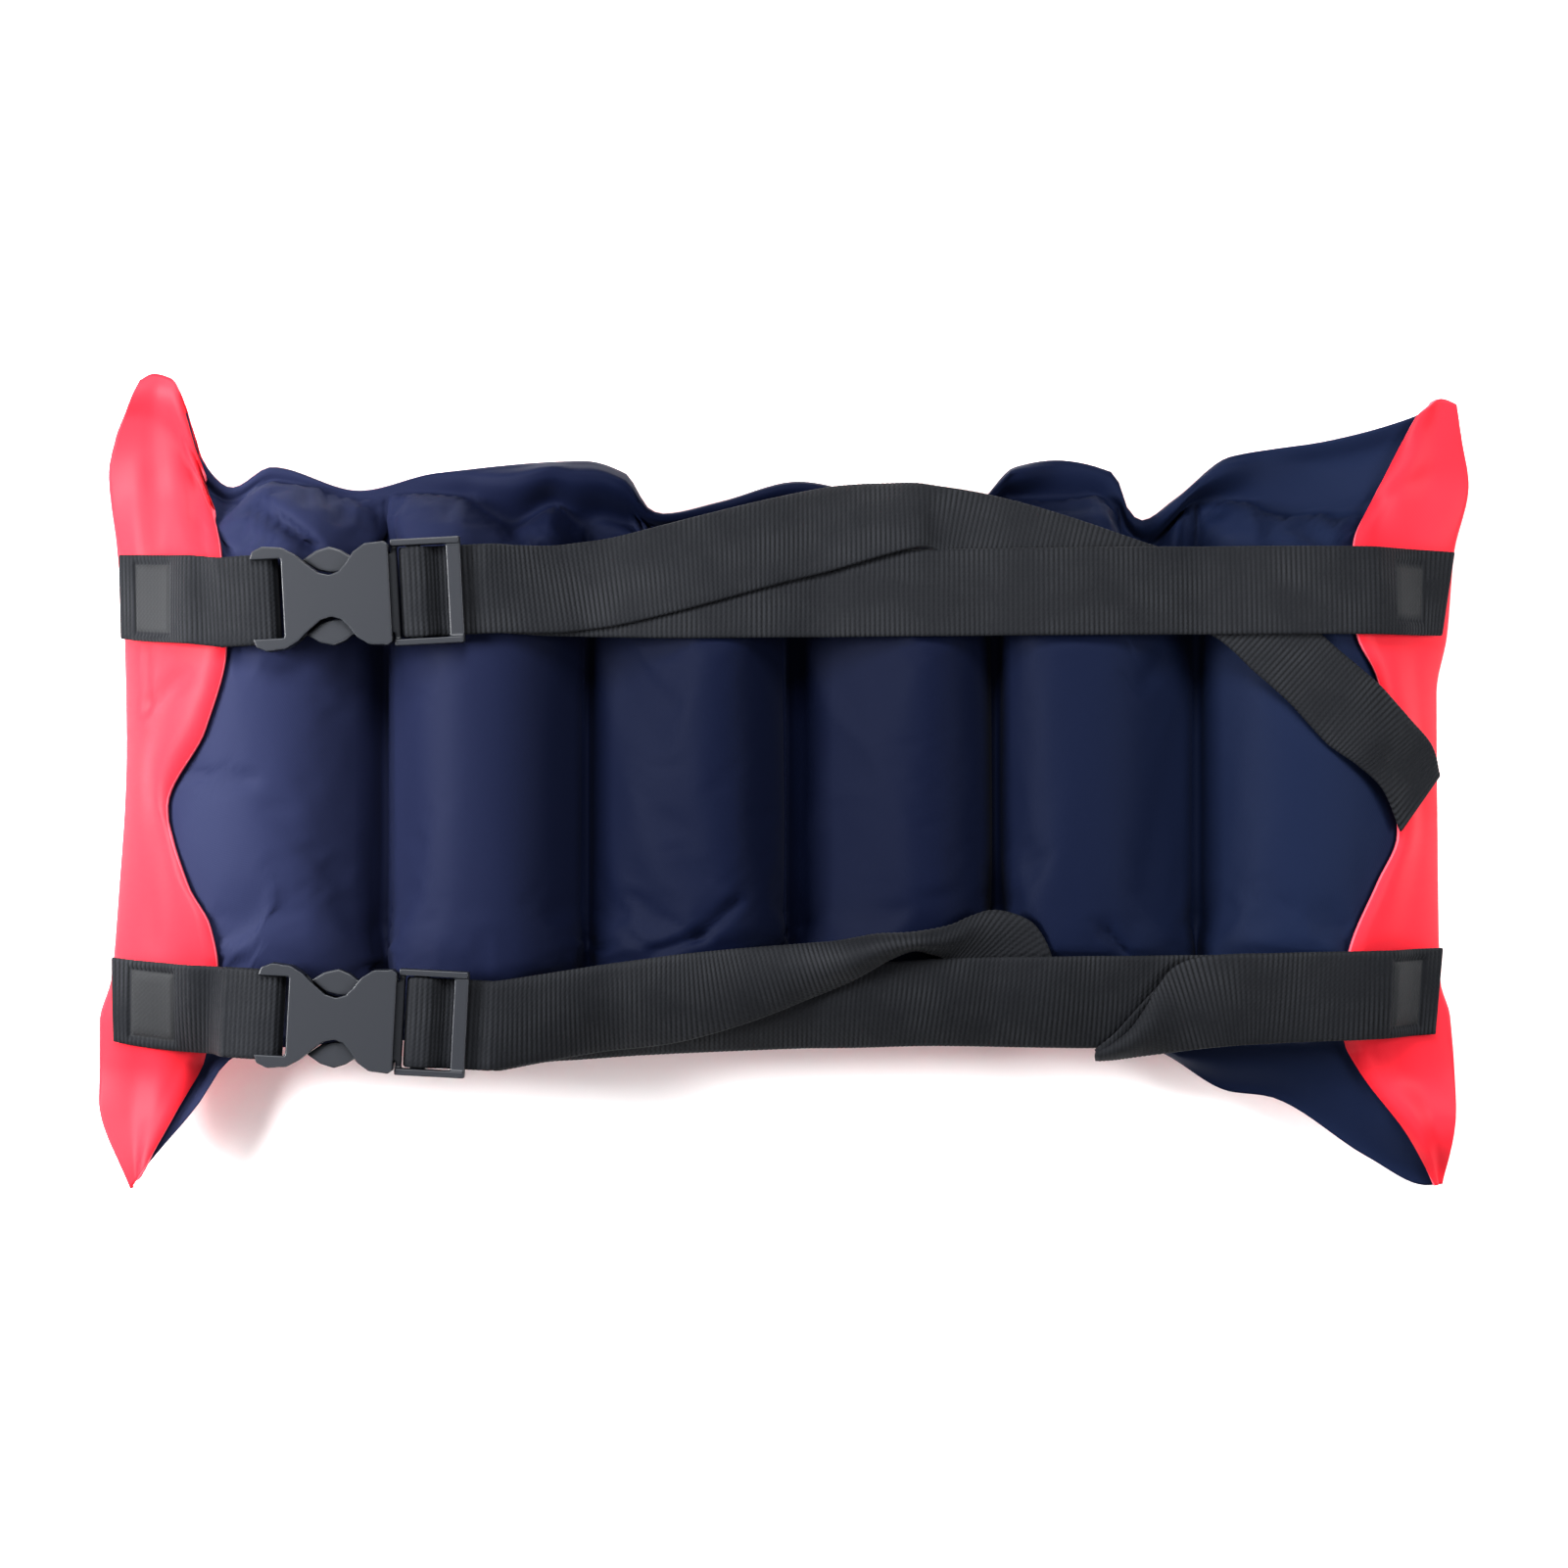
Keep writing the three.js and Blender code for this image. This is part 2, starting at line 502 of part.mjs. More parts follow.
// A plate with a given plan outline and softened upper and lower edges.
function plate(outline, zLow, zHigh, edge) {
  const shape = new THREE.Shape(outline.map(({ x, y }) => new THREE.Vector2(x, y)));
  const geometry = new THREE.ExtrudeGeometry(shape, {
    depth: zHigh - zLow - 2 * edge,
    bevelEnabled: edge > 0,
    bevelThickness: edge,
    bevelSize: edge,
    bevelOffset: -edge,
    bevelSegments: 1,
  });
  return solidFrom(geometry.translate(0, 0, zLow + edge));
}

function mirroredOutline(half) {
  const other = [...half].reverse().map(({ x, y }) => ({ x, y: -y }));
  return [...other, ...half];
}

// Upper half of the socket's plan outline, from its right end round to its left end.
const SOCKET_OUTLINE = table(['x', 'y'], [
  [11.5, 16.2], [10, 17.4], [3.5, 16.9], [-0.5, 14.2], [-2.6, 11.2], [-5.2, 8.2], [-8.5, 7],
  [-12.2, 8], [-16.5, 11.4], [-20, 14.6], [-24, 16.9], [-30.5, 17.6], [-34, 16], [-35.3, 12.6],
]);
const PRONG_OUTLINE = table(['x', 'y'], [
  [6, 13.2], [-1.6, 13.2], [-4.4, 15.2], [-8.3, 16.6], [-13, 15.4], [-17.6, 12.4], [-12.6, 8.8],
  [-8, 7.8], [6, 8.6],
]);

function buckleSocket() {
  const b = BUCKLE;
  const body = plate(mirroredOutline(SOCKET_OUTLINE), b.socketLow, b.socketHigh, b.socketEdge);
  const overBar = [b.socketLeft - b.beyond, b.barRight, -b.slotHalf, b.slotHalf];
  const cuts = [
    block(b.barRight, b.slotRight, -b.slotHalf, b.slotHalf, -b.beyond, b.beyond),
    block(...overBar, b.barHigh, b.beyond),
    block(...overBar, -b.beyond, b.barLow),
    block(b.cavityLeft, b.beyond, -b.cavityHalf, b.cavityHalf, b.cavityLow, b.cavityHigh),
  ];
  return geometryFrom(cuts.reduce((solid, cut) => solid.subtract(cut), body));
}

function buckleClip() {
  const b = BUCKLE;
  const base = block(b.baseLeft, b.shoulderRight, -b.baseHalf, b.baseHalf, b.prongLow, b.baseHigh);
  const bars = [
    block(b.shoulderLeft, b.shoulderRight, -b.railOuter, b.railOuter, b.prongLow, b.baseHigh),
    block(b.midLeft, b.midRight, -b.railOuter, b.railOuter, b.midLow, b.midHigh),
    block(b.endLeft, b.endRight, -b.railOuter, b.railOuter, b.endLow, b.endHigh),
  ];
  const railOutline = table(['x', 'y'], [
    [b.shoulderLeft, b.railInner], [b.railRight, b.railInner],
    [b.railRight, b.railOuter], [b.shoulderLeft, b.railOuter],
  ]);
  const sides = [1, -1].flatMap((side) => [
    plate(onSide(railOutline, side), b.railLow, b.railHigh, b.railEdge),
    plate(onSide(PRONG_OUTLINE, side), b.prongLow, b.prongHigh, b.prongEdge),
  ]);
  return geometryFrom([...bars, ...sides].reduce((solid, more) => solid.add(more), base));
}

// An outline on the upper (1) or lower (-1) side of the buckle.
function onSide(outline, side) {
  const placed = outline.map(({ x, y }) => ({ x, y: side * y }));
  return side > 0 ? placed : placed.reverse();
}

// Finishes.
const FINISHES = {
  navy: { color: '#262c56', roughness: 0.62, metalness: 0 },
  red: { color: '#fa3f54', roughness: 0.6, metalness: 0 },
  webbing: { color: '#26282c', roughness: 0.85, metalness: 0 },
  plastic: { color: '#47494e', roughness: 0.45, metalness: 0 },
};

function piece(name, geometry, finish) {
  const mesh = new THREE.Mesh(geometry, new THREE.MeshStandardMaterial(FINISHES[finish]));
  mesh.name = name;
  return mesh;
}

const belt = new THREE.Group();
belt.add(piece('inner_panel', innerPanel(), 'navy'));
belt.add(piece('outer_panel', outerPanel(), 'red'));
for (const place of BUCKLE_PLACES) {
  belt.add(piece(`${place.name}_anchor_strap`, anchorStrap(place), 'webbing'));
  belt.add(piece(`${place.name}_waist_strap`, waistStrap(place), 'webbing'));
  const buckle = buckleFrame(place);
  buckle.add(piece(`${place.name}_buckle_socket`, buckleSocket(), 'plastic'));
  buckle.add(piece(`${place.name}_buckle_clip`, buckleClip(), 'plastic'));
  belt.add(buckle);
}

export default belt;
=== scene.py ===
"""Dressed model of an inflatable swim belt that lies flat with the wearer's side up.

Laid out as a Blender add-on: sizes and colours are properties, and each group of pieces has an
operator. Tables of places are in millimetres in the belt's frame, and MM turns them into metres.
"""

import math

import bpy
import numpy as np
from bpy.props import FloatProperty, FloatVectorProperty, PointerProperty
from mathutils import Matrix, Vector


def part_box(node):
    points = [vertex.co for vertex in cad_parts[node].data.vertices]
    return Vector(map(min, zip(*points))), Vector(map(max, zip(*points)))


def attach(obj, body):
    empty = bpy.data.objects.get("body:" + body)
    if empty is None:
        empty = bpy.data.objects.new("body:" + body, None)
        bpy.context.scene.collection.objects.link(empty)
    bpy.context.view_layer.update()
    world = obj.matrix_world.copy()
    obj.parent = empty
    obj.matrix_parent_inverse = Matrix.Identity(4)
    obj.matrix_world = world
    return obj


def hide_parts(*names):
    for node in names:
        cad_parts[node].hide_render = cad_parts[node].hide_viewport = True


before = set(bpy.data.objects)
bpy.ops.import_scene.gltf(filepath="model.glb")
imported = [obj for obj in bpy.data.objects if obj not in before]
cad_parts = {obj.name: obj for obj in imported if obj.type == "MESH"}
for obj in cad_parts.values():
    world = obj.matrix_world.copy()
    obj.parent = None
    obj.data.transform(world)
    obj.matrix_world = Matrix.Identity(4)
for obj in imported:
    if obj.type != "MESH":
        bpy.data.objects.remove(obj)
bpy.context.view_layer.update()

bl_info = {
    "name": "Swim Belt",
    "version": (1, 0, 0),
    "blender": (4, 5, 0),
    "location": "View3D > Sidebar > Swim Belt",
    "description": "Builds an inflatable swim belt with its straps and buckles",
    "category": "Add Mesh",
}

MM = 0.001

# Weld lines between the six tubes, and the part of each middle tube's width where its crest is.
TUBE_SEAMS = (-135.7, -67.3, 1.0, 71.7, 140.7)
TUBE_CRESTS = (0.47, 0.62, 0.63, 0.36)

# Rims of the lying belt, from the left corner to the right one: x, y.
TOP_RIM = (
    (-219, 137), (-214, 139.3), (-208, 137.7), (-203.5, 129), (-199.7, 112.7),
    (-188.7, 101.3), (-175, 108.3), (-145.3, 100.3), (-119, 106.3), (-68, 110.3),
    (-54, 106), (-46, 94), (-41.7, 92.3), (-22.3, 96.3), (5, 103.3), (30, 98),
    (52, 92), (66, 96), (78.7, 108.3), (93, 110.7), (112.7, 106.3), (118, 93), (122, 90),
    (133, 97), (152.3, 111.7), (187, 117.3), (215.3, 125.3), (223.7, 131), (229, 129),
)
BOTTOM_RIM = (
    (-222.3, -137.7), (-217, -130), (-200, -109), (-191, -95.5), (-185, -91.8), (-165, -89.5),
    (-140, -88), (0, -84), (100, -86), (127, -91.3), (153.3, -105.7), (166, -107.3), (200.3, -128),
    (221, -138), (226.5, -137.5),
)

# Ends of the belt, and the wavy joins where the red wall laps over the navy one: y, x.
LEFT_EDGE = (
    (137, -219), (127.7, -223.7), (117.3, -228.3), (105, -231), (80, -228.3), (49.3, -225.7),
    (10.3, -225), (-41.3, -228), (-66.7, -230.3), (-81.3, -234.3), (-106.7, -234.3), (-137.7, -222.3),
)
LEFT_JOIN = (
    (112.7, -199.7), (96, -195.3), (78.3, -190.3), (47, -187.3), (18.3, -194.7), (-8, -208.6),
    (-34.3, -201), (-48, -193.3), (-62, -191), (-93, -197.2), (-111.3, -206.9), (-130, -217),
)
RIGHT_JOIN = (
    (125.3, 215.3), (98, 201.3), (82, 193.3), (64, 191), (50.3, 193), (35.7, 200), (6.7, 206.7),
    (-17, 207.7), (-33.3, 200.3), (-55.3, 190.7), (-70, 188), (-86, 190), (-97.7, 196),
    (-119.7, 212.5), (-138, 223.5),
)
RIGHT_EDGE = (
    (129, 229), (117.3, 231.3), (101.7, 234.3), (78.7, 229.3), (51, 227), (31, 223.3), (-47, 224),
    (-67.7, 224.7), (-79.3, 228), (-107, 229.7), (-128.3, 228), (-137.5, 226.5),
)

# Upper ends of the air tubes, below the loose flap along the upper rim: x, y.
TUBE_TOPS = (
    (-219, 123), (-208, 117), (-203, 109), (-199, 102), (-189, 96), (-175, 103), (-160, 101),
    (-145, 97.5), (-129, 99), (-110, 98), (-101, 92), (-92.5, 88), (-79, 95), (-70, 88.5), (-62, 90),
    (-50, 87), (-40, 87), (-22, 90), (5, 95), (30, 92), (52, 87), (66, 89), (75, 97), (98, 97.5),
    (108, 98), (116, 88), (124, 80), (141, 96), (158, 96.5), (167, 92), (187, 92), (199, 95),
    (207, 100), (215, 104), (229, 108),
)

# Lower ends of the air tubes, above the loose corners: x, y.
TUBE_BOTTOMS = (
    (-234, -118), (-214, -113), (-202, -100), (-194, -91), (-186, -86), (-176, -85.5), (-160, -90),
    (-130, -95), (100, -92), (180, -92), (196, -95), (210, -106), (229, -112),
)

# How the flap along the upper rim curls: x, lift, part of the lift that it rolls down again at the rim.
FLAP = (
    (-200, 3, 0.2), (-183, 1, 0.5), (-175, 1, 0.6), (-160, 1, 0.6), (-145, 0, 0.5), (-128, 0, 0.6),
    (-108, 2, 0.8), (-97, 6, 0.8), (-82, 10, 0.8), (-68, 11, 0.8), (-56, 12, 0.8), (-46, 6, 0.5),
    (-22, 3, 0.5), (5, 4, 0.5), (30, 4, 0.5), (52, 4, 0.5), (66, 4, 0.7), (80, 6, 0.8), (95, 2, 0.8),
    (110, 2, 0.6), (120, 3, 0.3), (134, 7, 0.3), (148, 7, 0.4), (165, 0, 0.5), (187, -5, 0.3),
    (205, -5, 0.2), (229, 0, 0),
)
FLAP_RISE = (0.1, 0.75)
FLAP_ROLL = (0.75, 1.0)

# Dents and creases in the upper surface: start x, y, end x, y, half width, depth (a ridge if negative).
FOLDS = (
    (-221, 108, -221.5, 80, 3.5, -4), (-213, 106, -211, 80, 6, 6),
    (-205.3, 118, -202.7, 104.7, 1.8, 2.5), (-202.7, 104.7, -199.3, 89.7, 1.8, 3),
    (-199.3, 89.7, -196, 78.3, 1.8, 2.5), (-216, 47, -215.5, 26, 2.5, 5),
    (-215.5, 26, -203, 37, 2.5, 4), (-212, -14, -213, -52, 5, 2.5),
    (-220, -98, -212, -118, 4, 2.5), (-178, 95, -160, 79.6, 2.4, 9), (-98, 90, -84, 78, 2.4, 8),
    (-64, 97, -65.5, 80, 2.2, 5), (-72, 96, -70.5, 84, 2.2, 4), (-17, -40, -29, -51.3, 2.2, 3),
    (-29, -51.3, -43.7, -56, 2.2, 3), (109, -50, 114.3, -55.7, 1.8, 3),
    (-198.7, 3.3, -179.3, 1.3, 2.2, 2), (-133, 96, -133.5, 80, 2, 3), (138.6, 96, 138.5, 80, 2, 3),
)

# Roundness of the tubes: exponents of the section, of the end tubes' outer half and of the tube ends,
# which are softer in the corners and above the lower right flap.
TUBE_ROUND = (2.3, 0.6)
OUTER_ROUND = (1.7, 0.85)
TUBE_END = (4.6, 0.6)
EAR_END = (3, 1.5)
EAR_TAPER = (184, 206)
SOFT_ZONE = (110, 150)
SOFT_START = (0, 0.06)

# Weld between the walls: its width at the rims, its gap, how far its corners and its lower flap curl,
# and the step over which its slope is measured.
RIM_FLANGE = 3
SEAM_GAP = 0.3
EAR_CURL = 9
EAR_ZONE = ((150, 205), (96, 136))
FLAP_DROOP = 9
DROOP_ZONE = (60, 150)
SLOPE_STEP = 0.5
STEEPEST = 3

# Lap of the red wall over the navy one, and how far the red wall's rim lies inside the navy one's.
LAP_ZONE = (0.35, 0.75)
LAP_WIDTH = 3
LAP_MOST = 0.3
LAP_GAP = 1.8
RIM_INSET = 0.007
STEEPEST_RIM = 6
INSET_ZONE = (0, 0.03)

# Grid of the fabric walls, and the columns of each wall's ends that have no spare fabric.
ROWS = 120
TUBE_COLUMNS = 32
END_COLUMNS = 30
WRAP_COLUMNS = 16
WRAP_SPACING = 1.5
INNER_FIRM = 1
OUTER_FIRM = 60

# Flat cut of each wall, in metres: width and length of its rectangle, and its own area.
INNER_CUT = ((0.60, 0.27), 0.115)
OUTER_CUT = ((0.66, 0.29), 0.15)

# Spare fabric of the walls and the pressure in them, for the simulation that wrinkles them.
CLOTH_FRAMES = 12
CLOTH_STEPS = 5
CLOTH_MASS = 0.15
CLOTH_STRETCH = 25
CLOTH_SHEAR = 8
CLOTH_BEND = 0.4
CLOTH_SPARE = 0.06
CLOTH_PRESSURE = 3
CLOTH_LIMIT = 3.5
SPARE_BELOW = (40, 62)
SPARE_ABOVE = (58, 84)
WELDED = (0.02, 0.12)
COVER_EDGE = (14, 19)
COVER_ROOM = 0.1

# Webbing on its bed, which bridges the tubes with arcs of these radii.
BED_GAP = 0.9
LAYER_PITCH = 1.9
STATION_PITCH = 13
LOOP_STEPS = 6
DENSE_STEPS = 24
BRIDGE_RADIUS = 170
BRIDGE_END_RADIUS = 9
BRIDGE_ACROSS = 40
BRIDGE_REACH = 36
BRIDGE_STEP = 4
BRIDGE_ACROSS_REACH = 12
END_ZONE = (182, 212)

# Buckles: centre x, y and lean in degrees.
BUCKLES = {"upper": (-142.7, 63.2, 3), "lower": (-141.3, -78.8, -3)}
SOCKET_LOW = 0.2

# Webbing routes round the clip's middle bar and the socket's bar, in the buckle's frame: x, z.
CLIP_LOOP = (
    (46, 0.9), (36, 0.75), (25, 0.75), (17.8, 0.75), (15.6, 1.5), (15.3, 3.4), (15.6, 5.4), (16.6, 6.7),
    (19.4, 7), (22.4, 6.6), (24.4, 5), (26.4, 3.4), (29, 2.7), (36, 2.65), (43, 2.8),
)
SOCKET_LOOP = (
    (-46, 3.6), (-40, 5.4), (-36, 6.3), (-32.2, 6.5), (-28.8, 6.1), (-27.1, 4.5), (-27, 2.7),
    (-28.6, 1.1), (-31, 0.75), (-38, 0.75), (-47, 0.75),
)

# Lying stretches of webbing: upper edge x, y, lower edge x, y, layers under it, height of a ridge.
ANCHOR_RUNS = {
    "upper": (
        (-226.4, 78, -225.4, 49.4, 0, 0), (-219, 77.8, -218, 48.4, 0, 0), (-209, 77.4, -208, 47.7, 0.1, 0),
        (-201, 77, -200, 47.1, 0.5, 0), (-195, 76.5, -193.5, 46.4, 1, 0),
    ),
    "lower": (
        (-228.7, -59, -228.4, -87.7, 0, 0), (-220, -59.8, -221, -89, 0, 0),
        (-209, -60.5, -210, -90.3, 0.1, 0), (-200, -60.9, -201, -90.9, 0.5, 0),
        (-192, -61.2, -194, -91.2, 1, 0),
    ),
}
WAIST_RUNS = {
    "upper": (
        (228.6, 79, 223.4, 50.4, 0, 0), (215, 79.6, 214, 50.3, 0, 0), (200, 80, 200, 50.3, 0.4, 0),
        (184, 80, 184, 50.3, 1.2, 0), (150, 80, 150, 50.2, 1.2, 0), (110, 79.6, 110, 50, 1.2, 0),
        (78, 79.2, 78, 49.8, 1.2, 0), (56, 79, 56, 49.6, 0.8, 0), (34, 78.8, 34, 49.5, 0, 0),
        (0, 78.6, 0, 49.2, 0, 0), (-40, 78.6, -40, 49, 0, 0), (-80, 79.6, -79, 49.7, 0, 0),
    ),
    "lower": (
        (224, -55.8, 221.8, -85.2, 0, 0), (205, -56, 205, -86, 0, 0), (175, -56.5, 174, -87, 0, 0),
        (163, -56.8, 162, -87.6, 0.9, 0), (151, -57, 154, -88, 1.8, 0), (139, -58.2, 147, -88.6, 2.2, 1),
        (131, -61.4, 140, -89.4, 2.2, 2), (126, -67.4, 133, -90.4, 2.1, 3), (122, -75, 125, -91.4, 2, 4),
        (117, -83, 117, -92.4, 1.7, 4), (111, -88.2, 111, -93.2, 1.3, 3), (106, -90.3, 106, -93.4, 0.9, 2),
        (112, -84, 112, -91.6, 0.7, 1), (124, -70, 122, -90, 0.9, 0), (138, -59, 137, -89, 0.9, 0),
        (149, -57.6, 147, -88.4, 0.5, 0), (138, -57.6, 137, -88.6, 0, 0), (118, -57.8, 117, -89, 0, 0),
        (104, -57.8, 103, -89.4, 0.2, 0), (93, -57.9, 91, -89.2, 1.1, 0), (80, -58, 77, -89, 1.3, 0),
        (52, -58.6, 48, -88.6, 1.2, 0), (28, -60.4, 26, -89.4, 0.4, 0), (0, -61.5, 0, -90, 0, 0),
        (-40, -62.6, -40, -91.8, 0, 0), (-80, -65, -80, -94.6, 0, 0),
    ),
}
TAILS = {
    "upper": (
        (-79, 80.1, -74, 50.8, 1.3, 0), (-60, 82.6, -56, 53.2, 1.15, 0), (-32, 89.6, -30, 59.4, 1.15, 0),
        (-2.7, 97, -2.7, 67, 1.15, 0), (17, 101, 17, 72, 1.3, 0), (34, 102, 34, 77, 1.6, 0),
        (45, 102, 45, 79.6, 1.9, 0), (52, 101, 50, 79.2, 1.1, 0), (66, 98.6, 60, 74, 0.1, 0),
        (85, 93.6, 78, 65.4, 0, 0), (104, 87.4, 96, 58, 0, 0), (124, 80.5, 112, 55, 0, 0),
        (145, 74.5, 131, 53.6, 0, 0), (161.4, 67.4, 145, 49.3, 0, 0), (173.4, 56.6, 157, 38.5, 0, 0),
        (186.4, 44.8, 170, 26.7, 0, 0), (200, 33.3, 182.3, 13.3, 0, 0), (211, 22, 192, 6.5, 0, 0),
        (219.4, 13, 201.3, -2, 0, 0), (222.4, 3, 207.7, -16, 0, 0),
    ),
    "lower": (
        (-60, -60.6, -60, -90.6, 1.2, 0),
        (-37, -57.4, -37, -87.6, 1.15, 0), (-18, -55.4, -12, -80.4, 1.2, 2), (2, -54, 8, -72.4, 1.2, 5),
        (18, -52.8, 24, -65.4, 1.3, 9), (31, -50.6, 36, -58.4, 1.2, 11), (43.4, -50, 43.6, -55.6, 0.9, 12),
        (56, -47.6, 50, -57, 0.5, 9), (70, -42.4, 57, -60, 0.2, 4), (84, -47, 60, -66, 0, 1),
        (90, -58, 61, -72, 0, 0), (89, -72, 60, -78, 0, 0),
    ),
}

# Heat-pressed marks on the strap ends: from and to along the strap, and half width as a part of its own.
PRESS_MARKS = {
    "upper_anchor_strap": (7, 24, 0.8),
    "lower_anchor_strap": (7.5, 25, 0.77),
    "upper_waist_strap": (11, 24.5, 0.66),
    "lower_waist_strap": (7.5, 24, 0.75),
}
MARK_GROOVE = 0.75
MARK_LINE = 0.9
MARK_SMOOTH = 0.15

# Places across the webbing, from edge to edge, of the ring's face and back points.
FACE_COLUMNS = (
    -1, -0.985, -0.95, -0.9, -0.85, -0.8, -0.76, -0.72, -0.67, -0.5, -0.25, 0,
    0.25, 0.5, 0.67, 0.72, 0.76, 0.8, 0.85, 0.9, 0.95, 0.985, 1,
)
BACK_COLUMNS = (1, 0.985, 0.95, 0.8, 0.4, 0, -0.4, -0.8, -0.95, -0.985, -1)
SELVEDGE = 0.07
SELVEDGE_LEAST = 0.3
SELVEDGE_SMOOTH = 0.7
ROWS_PER_RIB = 4.4

# Upper half of the socket's plan outline from its right end round to its left end, and a prong's: x, y.
SOCKET_OUTLINE = (
    (11.5, 16.2), (10, 17.4), (3.5, 16.9), (-0.5, 14.2), (-2.6, 11.2), (-5.2, 8.2), (-8.5, 7),
    (-12.2, 8), (-16.5, 11.4), (-20, 14.6), (-24, 16.9), (-30.5, 17.6), (-34, 16), (-35.3, 12.6),
)
PRONG_OUTLINE = (
    (6, 13.2), (-1.6, 13.2), (-4.4, 15.2), (-8.3, 16.6), (-13, 15.4), (-17.6, 12.4), (-12.6, 8.8),
    (-8, 7.8), (6, 8.6),
)

# Socket blocks cut away and clip blocks joined, in the buckle's frame: x, y and z from and to.
SOCKET_HEIGHTS = (0.2, 9.6)
SOCKET_CUTS = (
    (-29.6, -24.6, -15.6, 15.6, -20, 7.6),
    (-60, -29.6, -15.6, 15.6, 5.2, 7.6),
    (-60, -29.6, -15.6, 15.6, -20, 2.2),
    (-60, -24.6, -13.2, 13.2, 7.5, 20),
    (-21, 20, -14, 14, 2, 7.6),
)
CLIP_BLOCKS = (
    (5, 14, -13.2, 13.2, 2.6, 5.4),
    (11.9, 14, -17.8, 17.8, 2.6, 5.4),
    (17.2, 21.6, -17.8, 17.8, 2.2, 5.6),
    (30.5, 35.4, -17.8, 17.8, 3.8, 7.4),
    (11.9, 35, 15.6, 17.8, 1, 8),
    (11.9, 35, -17.8, -15.6, 1, 8),
)
PRONG_HEIGHTS = (2.6, 7)
SOFTEN_FACTOR = 0.5
SOFTEN_TIMES = 6

# Finishes of the materials, by the shader's sockets.
NAVY_FINISH = {
    "Roughness": 0.68, "Specular IOR Level": 0.14, "Sheen Weight": 0.03, "Sheen Roughness": 0.45,
}
RED_FINISH = {
    "Roughness": 0.55, "Specular IOR Level": 0.22, "Sheen Weight": 0.05, "Sheen Roughness": 0.45,
}
EDGE_FINISH = {"Roughness": 0.8}
WEBBING_FINISH = {"Roughness": 0.75, "Specular IOR Level": 0.2, "Sheen Weight": 0.03}
PLASTIC_FINISH = {"Roughness": 0.42, "Specular IOR Level": 0.5}
FLOOR_FINISH = {"Roughness": 0.9}

# Weaves in threads per metre, scales of the webbing's scuffed patches and painted sheen and of the grain, and
# bumps as strength and distance.
FABRIC_WEAVE = 2400.0
FABRIC_BUMP = (0.12, 0.0001)
WEBBING_WEAVE = 1200.0
WEBBING_BUMP = (0.35, 0.0002)
WEAR_AND_SHEEN_SCALE = 55.0
WEAR_AND_SHEEN_DETAIL = 3.0
WEAR_AND_SHEEN_RANGE = (0.38, 0.68)
GRAIN_SCALE = 2600.0
GRAIN_DETAIL = 2.0
GRAIN_BUMP = (0.08, 0.0001)

# Places along the belt, in metres, where the navy turns to its middle tone, darkened with painted shade, and
# to its end tone, lightened with painted light.
MIDDLE_SHADE_RANGE = (-0.19, -0.06)
END_LIGHT_RANGE = (0.05, 0.18)

# Kinds of the node groups' sockets.
VALUE = "NodeSocketFloat"
VECTOR = "NodeSocketVector"
GEOMETRY = "NodeSocketGeometry"
MATERIAL = "NodeSocketMaterial"

# Soft lights: name, place, size and power. The camera looks straight down on a square of floor.
STAGE_LIGHTS = (
    ("key", (-0.15, 1.3, 1.6), 0.8, 38),
    ("left", (-0.66, 0.1, 0.5), 0.3, 10.8),
    ("right", (0.66, 0.05, 0.55), 0.3, 4),
    ("fill", (0.1, -1.1, 1.6), 0.8, 11),
)
WORLD_STRENGTH = 0.07
CAMERA_HEIGHT = 1.6
CAMERA_LENS = 105.6
CAMERA_SENSOR = 36
FLOOR_HALF = 3000

# Least values, which keep divisors above nought and places inside the last span.
LEAST = 1e-6
LEAST_SPAN = 1e-4
JUST_UNDER_ONE = 1 - 1e-9


class SwimBeltSizes(bpy.types.PropertyGroup):
    """Sizes of the belt's walls, webbing and buckles."""

    fabric_wall: FloatProperty(
        name="Fabric wall", description="Thickness of each coated-fabric wall",
        default=0.0012, min=0.0002, unit="LENGTH",
    )
    mid_height: FloatProperty(
        name="Weld height", description="Height of the weld lines above the floor",
        default=0.026, min=0.001, unit="LENGTH",
    )
    crest_height: FloatProperty(
        name="Crest height", description="Height of the tubes' crests above the floor",
        default=0.056, min=0.002, unit="LENGTH",
    )
    floor_squash: FloatProperty(
        name="Floor squash", description="How far the resting tubes are flattened underneath",
        default=0.004, min=0.0, unit="LENGTH",
    )
    webbing_width: FloatProperty(
        name="Webbing width", description="Width of the straps",
        default=0.03, min=0.005, unit="LENGTH",
    )
    webbing_thickness: FloatProperty(
        name="Webbing thickness", description="Thickness of the straps",
        default=0.0015, min=0.0003, unit="LENGTH",
    )
    rib_pitch: FloatProperty(
        name="Rib pitch", description="Distance between the webbing's cross ribs",
        default=0.00167, min=0.0003, unit="LENGTH",
    )
    rib_height: FloatProperty(
        name="Rib height", description="Height of the webbing's cross ribs",
        default=0.00028, min=0.0, unit="LENGTH",
    )
    mould_grain: FloatProperty(
        name="Mould grain", description="Size of the grid that rounds the buckles' moulded edges",
        default=0.00032, min=0.0001, unit="LENGTH",
    )


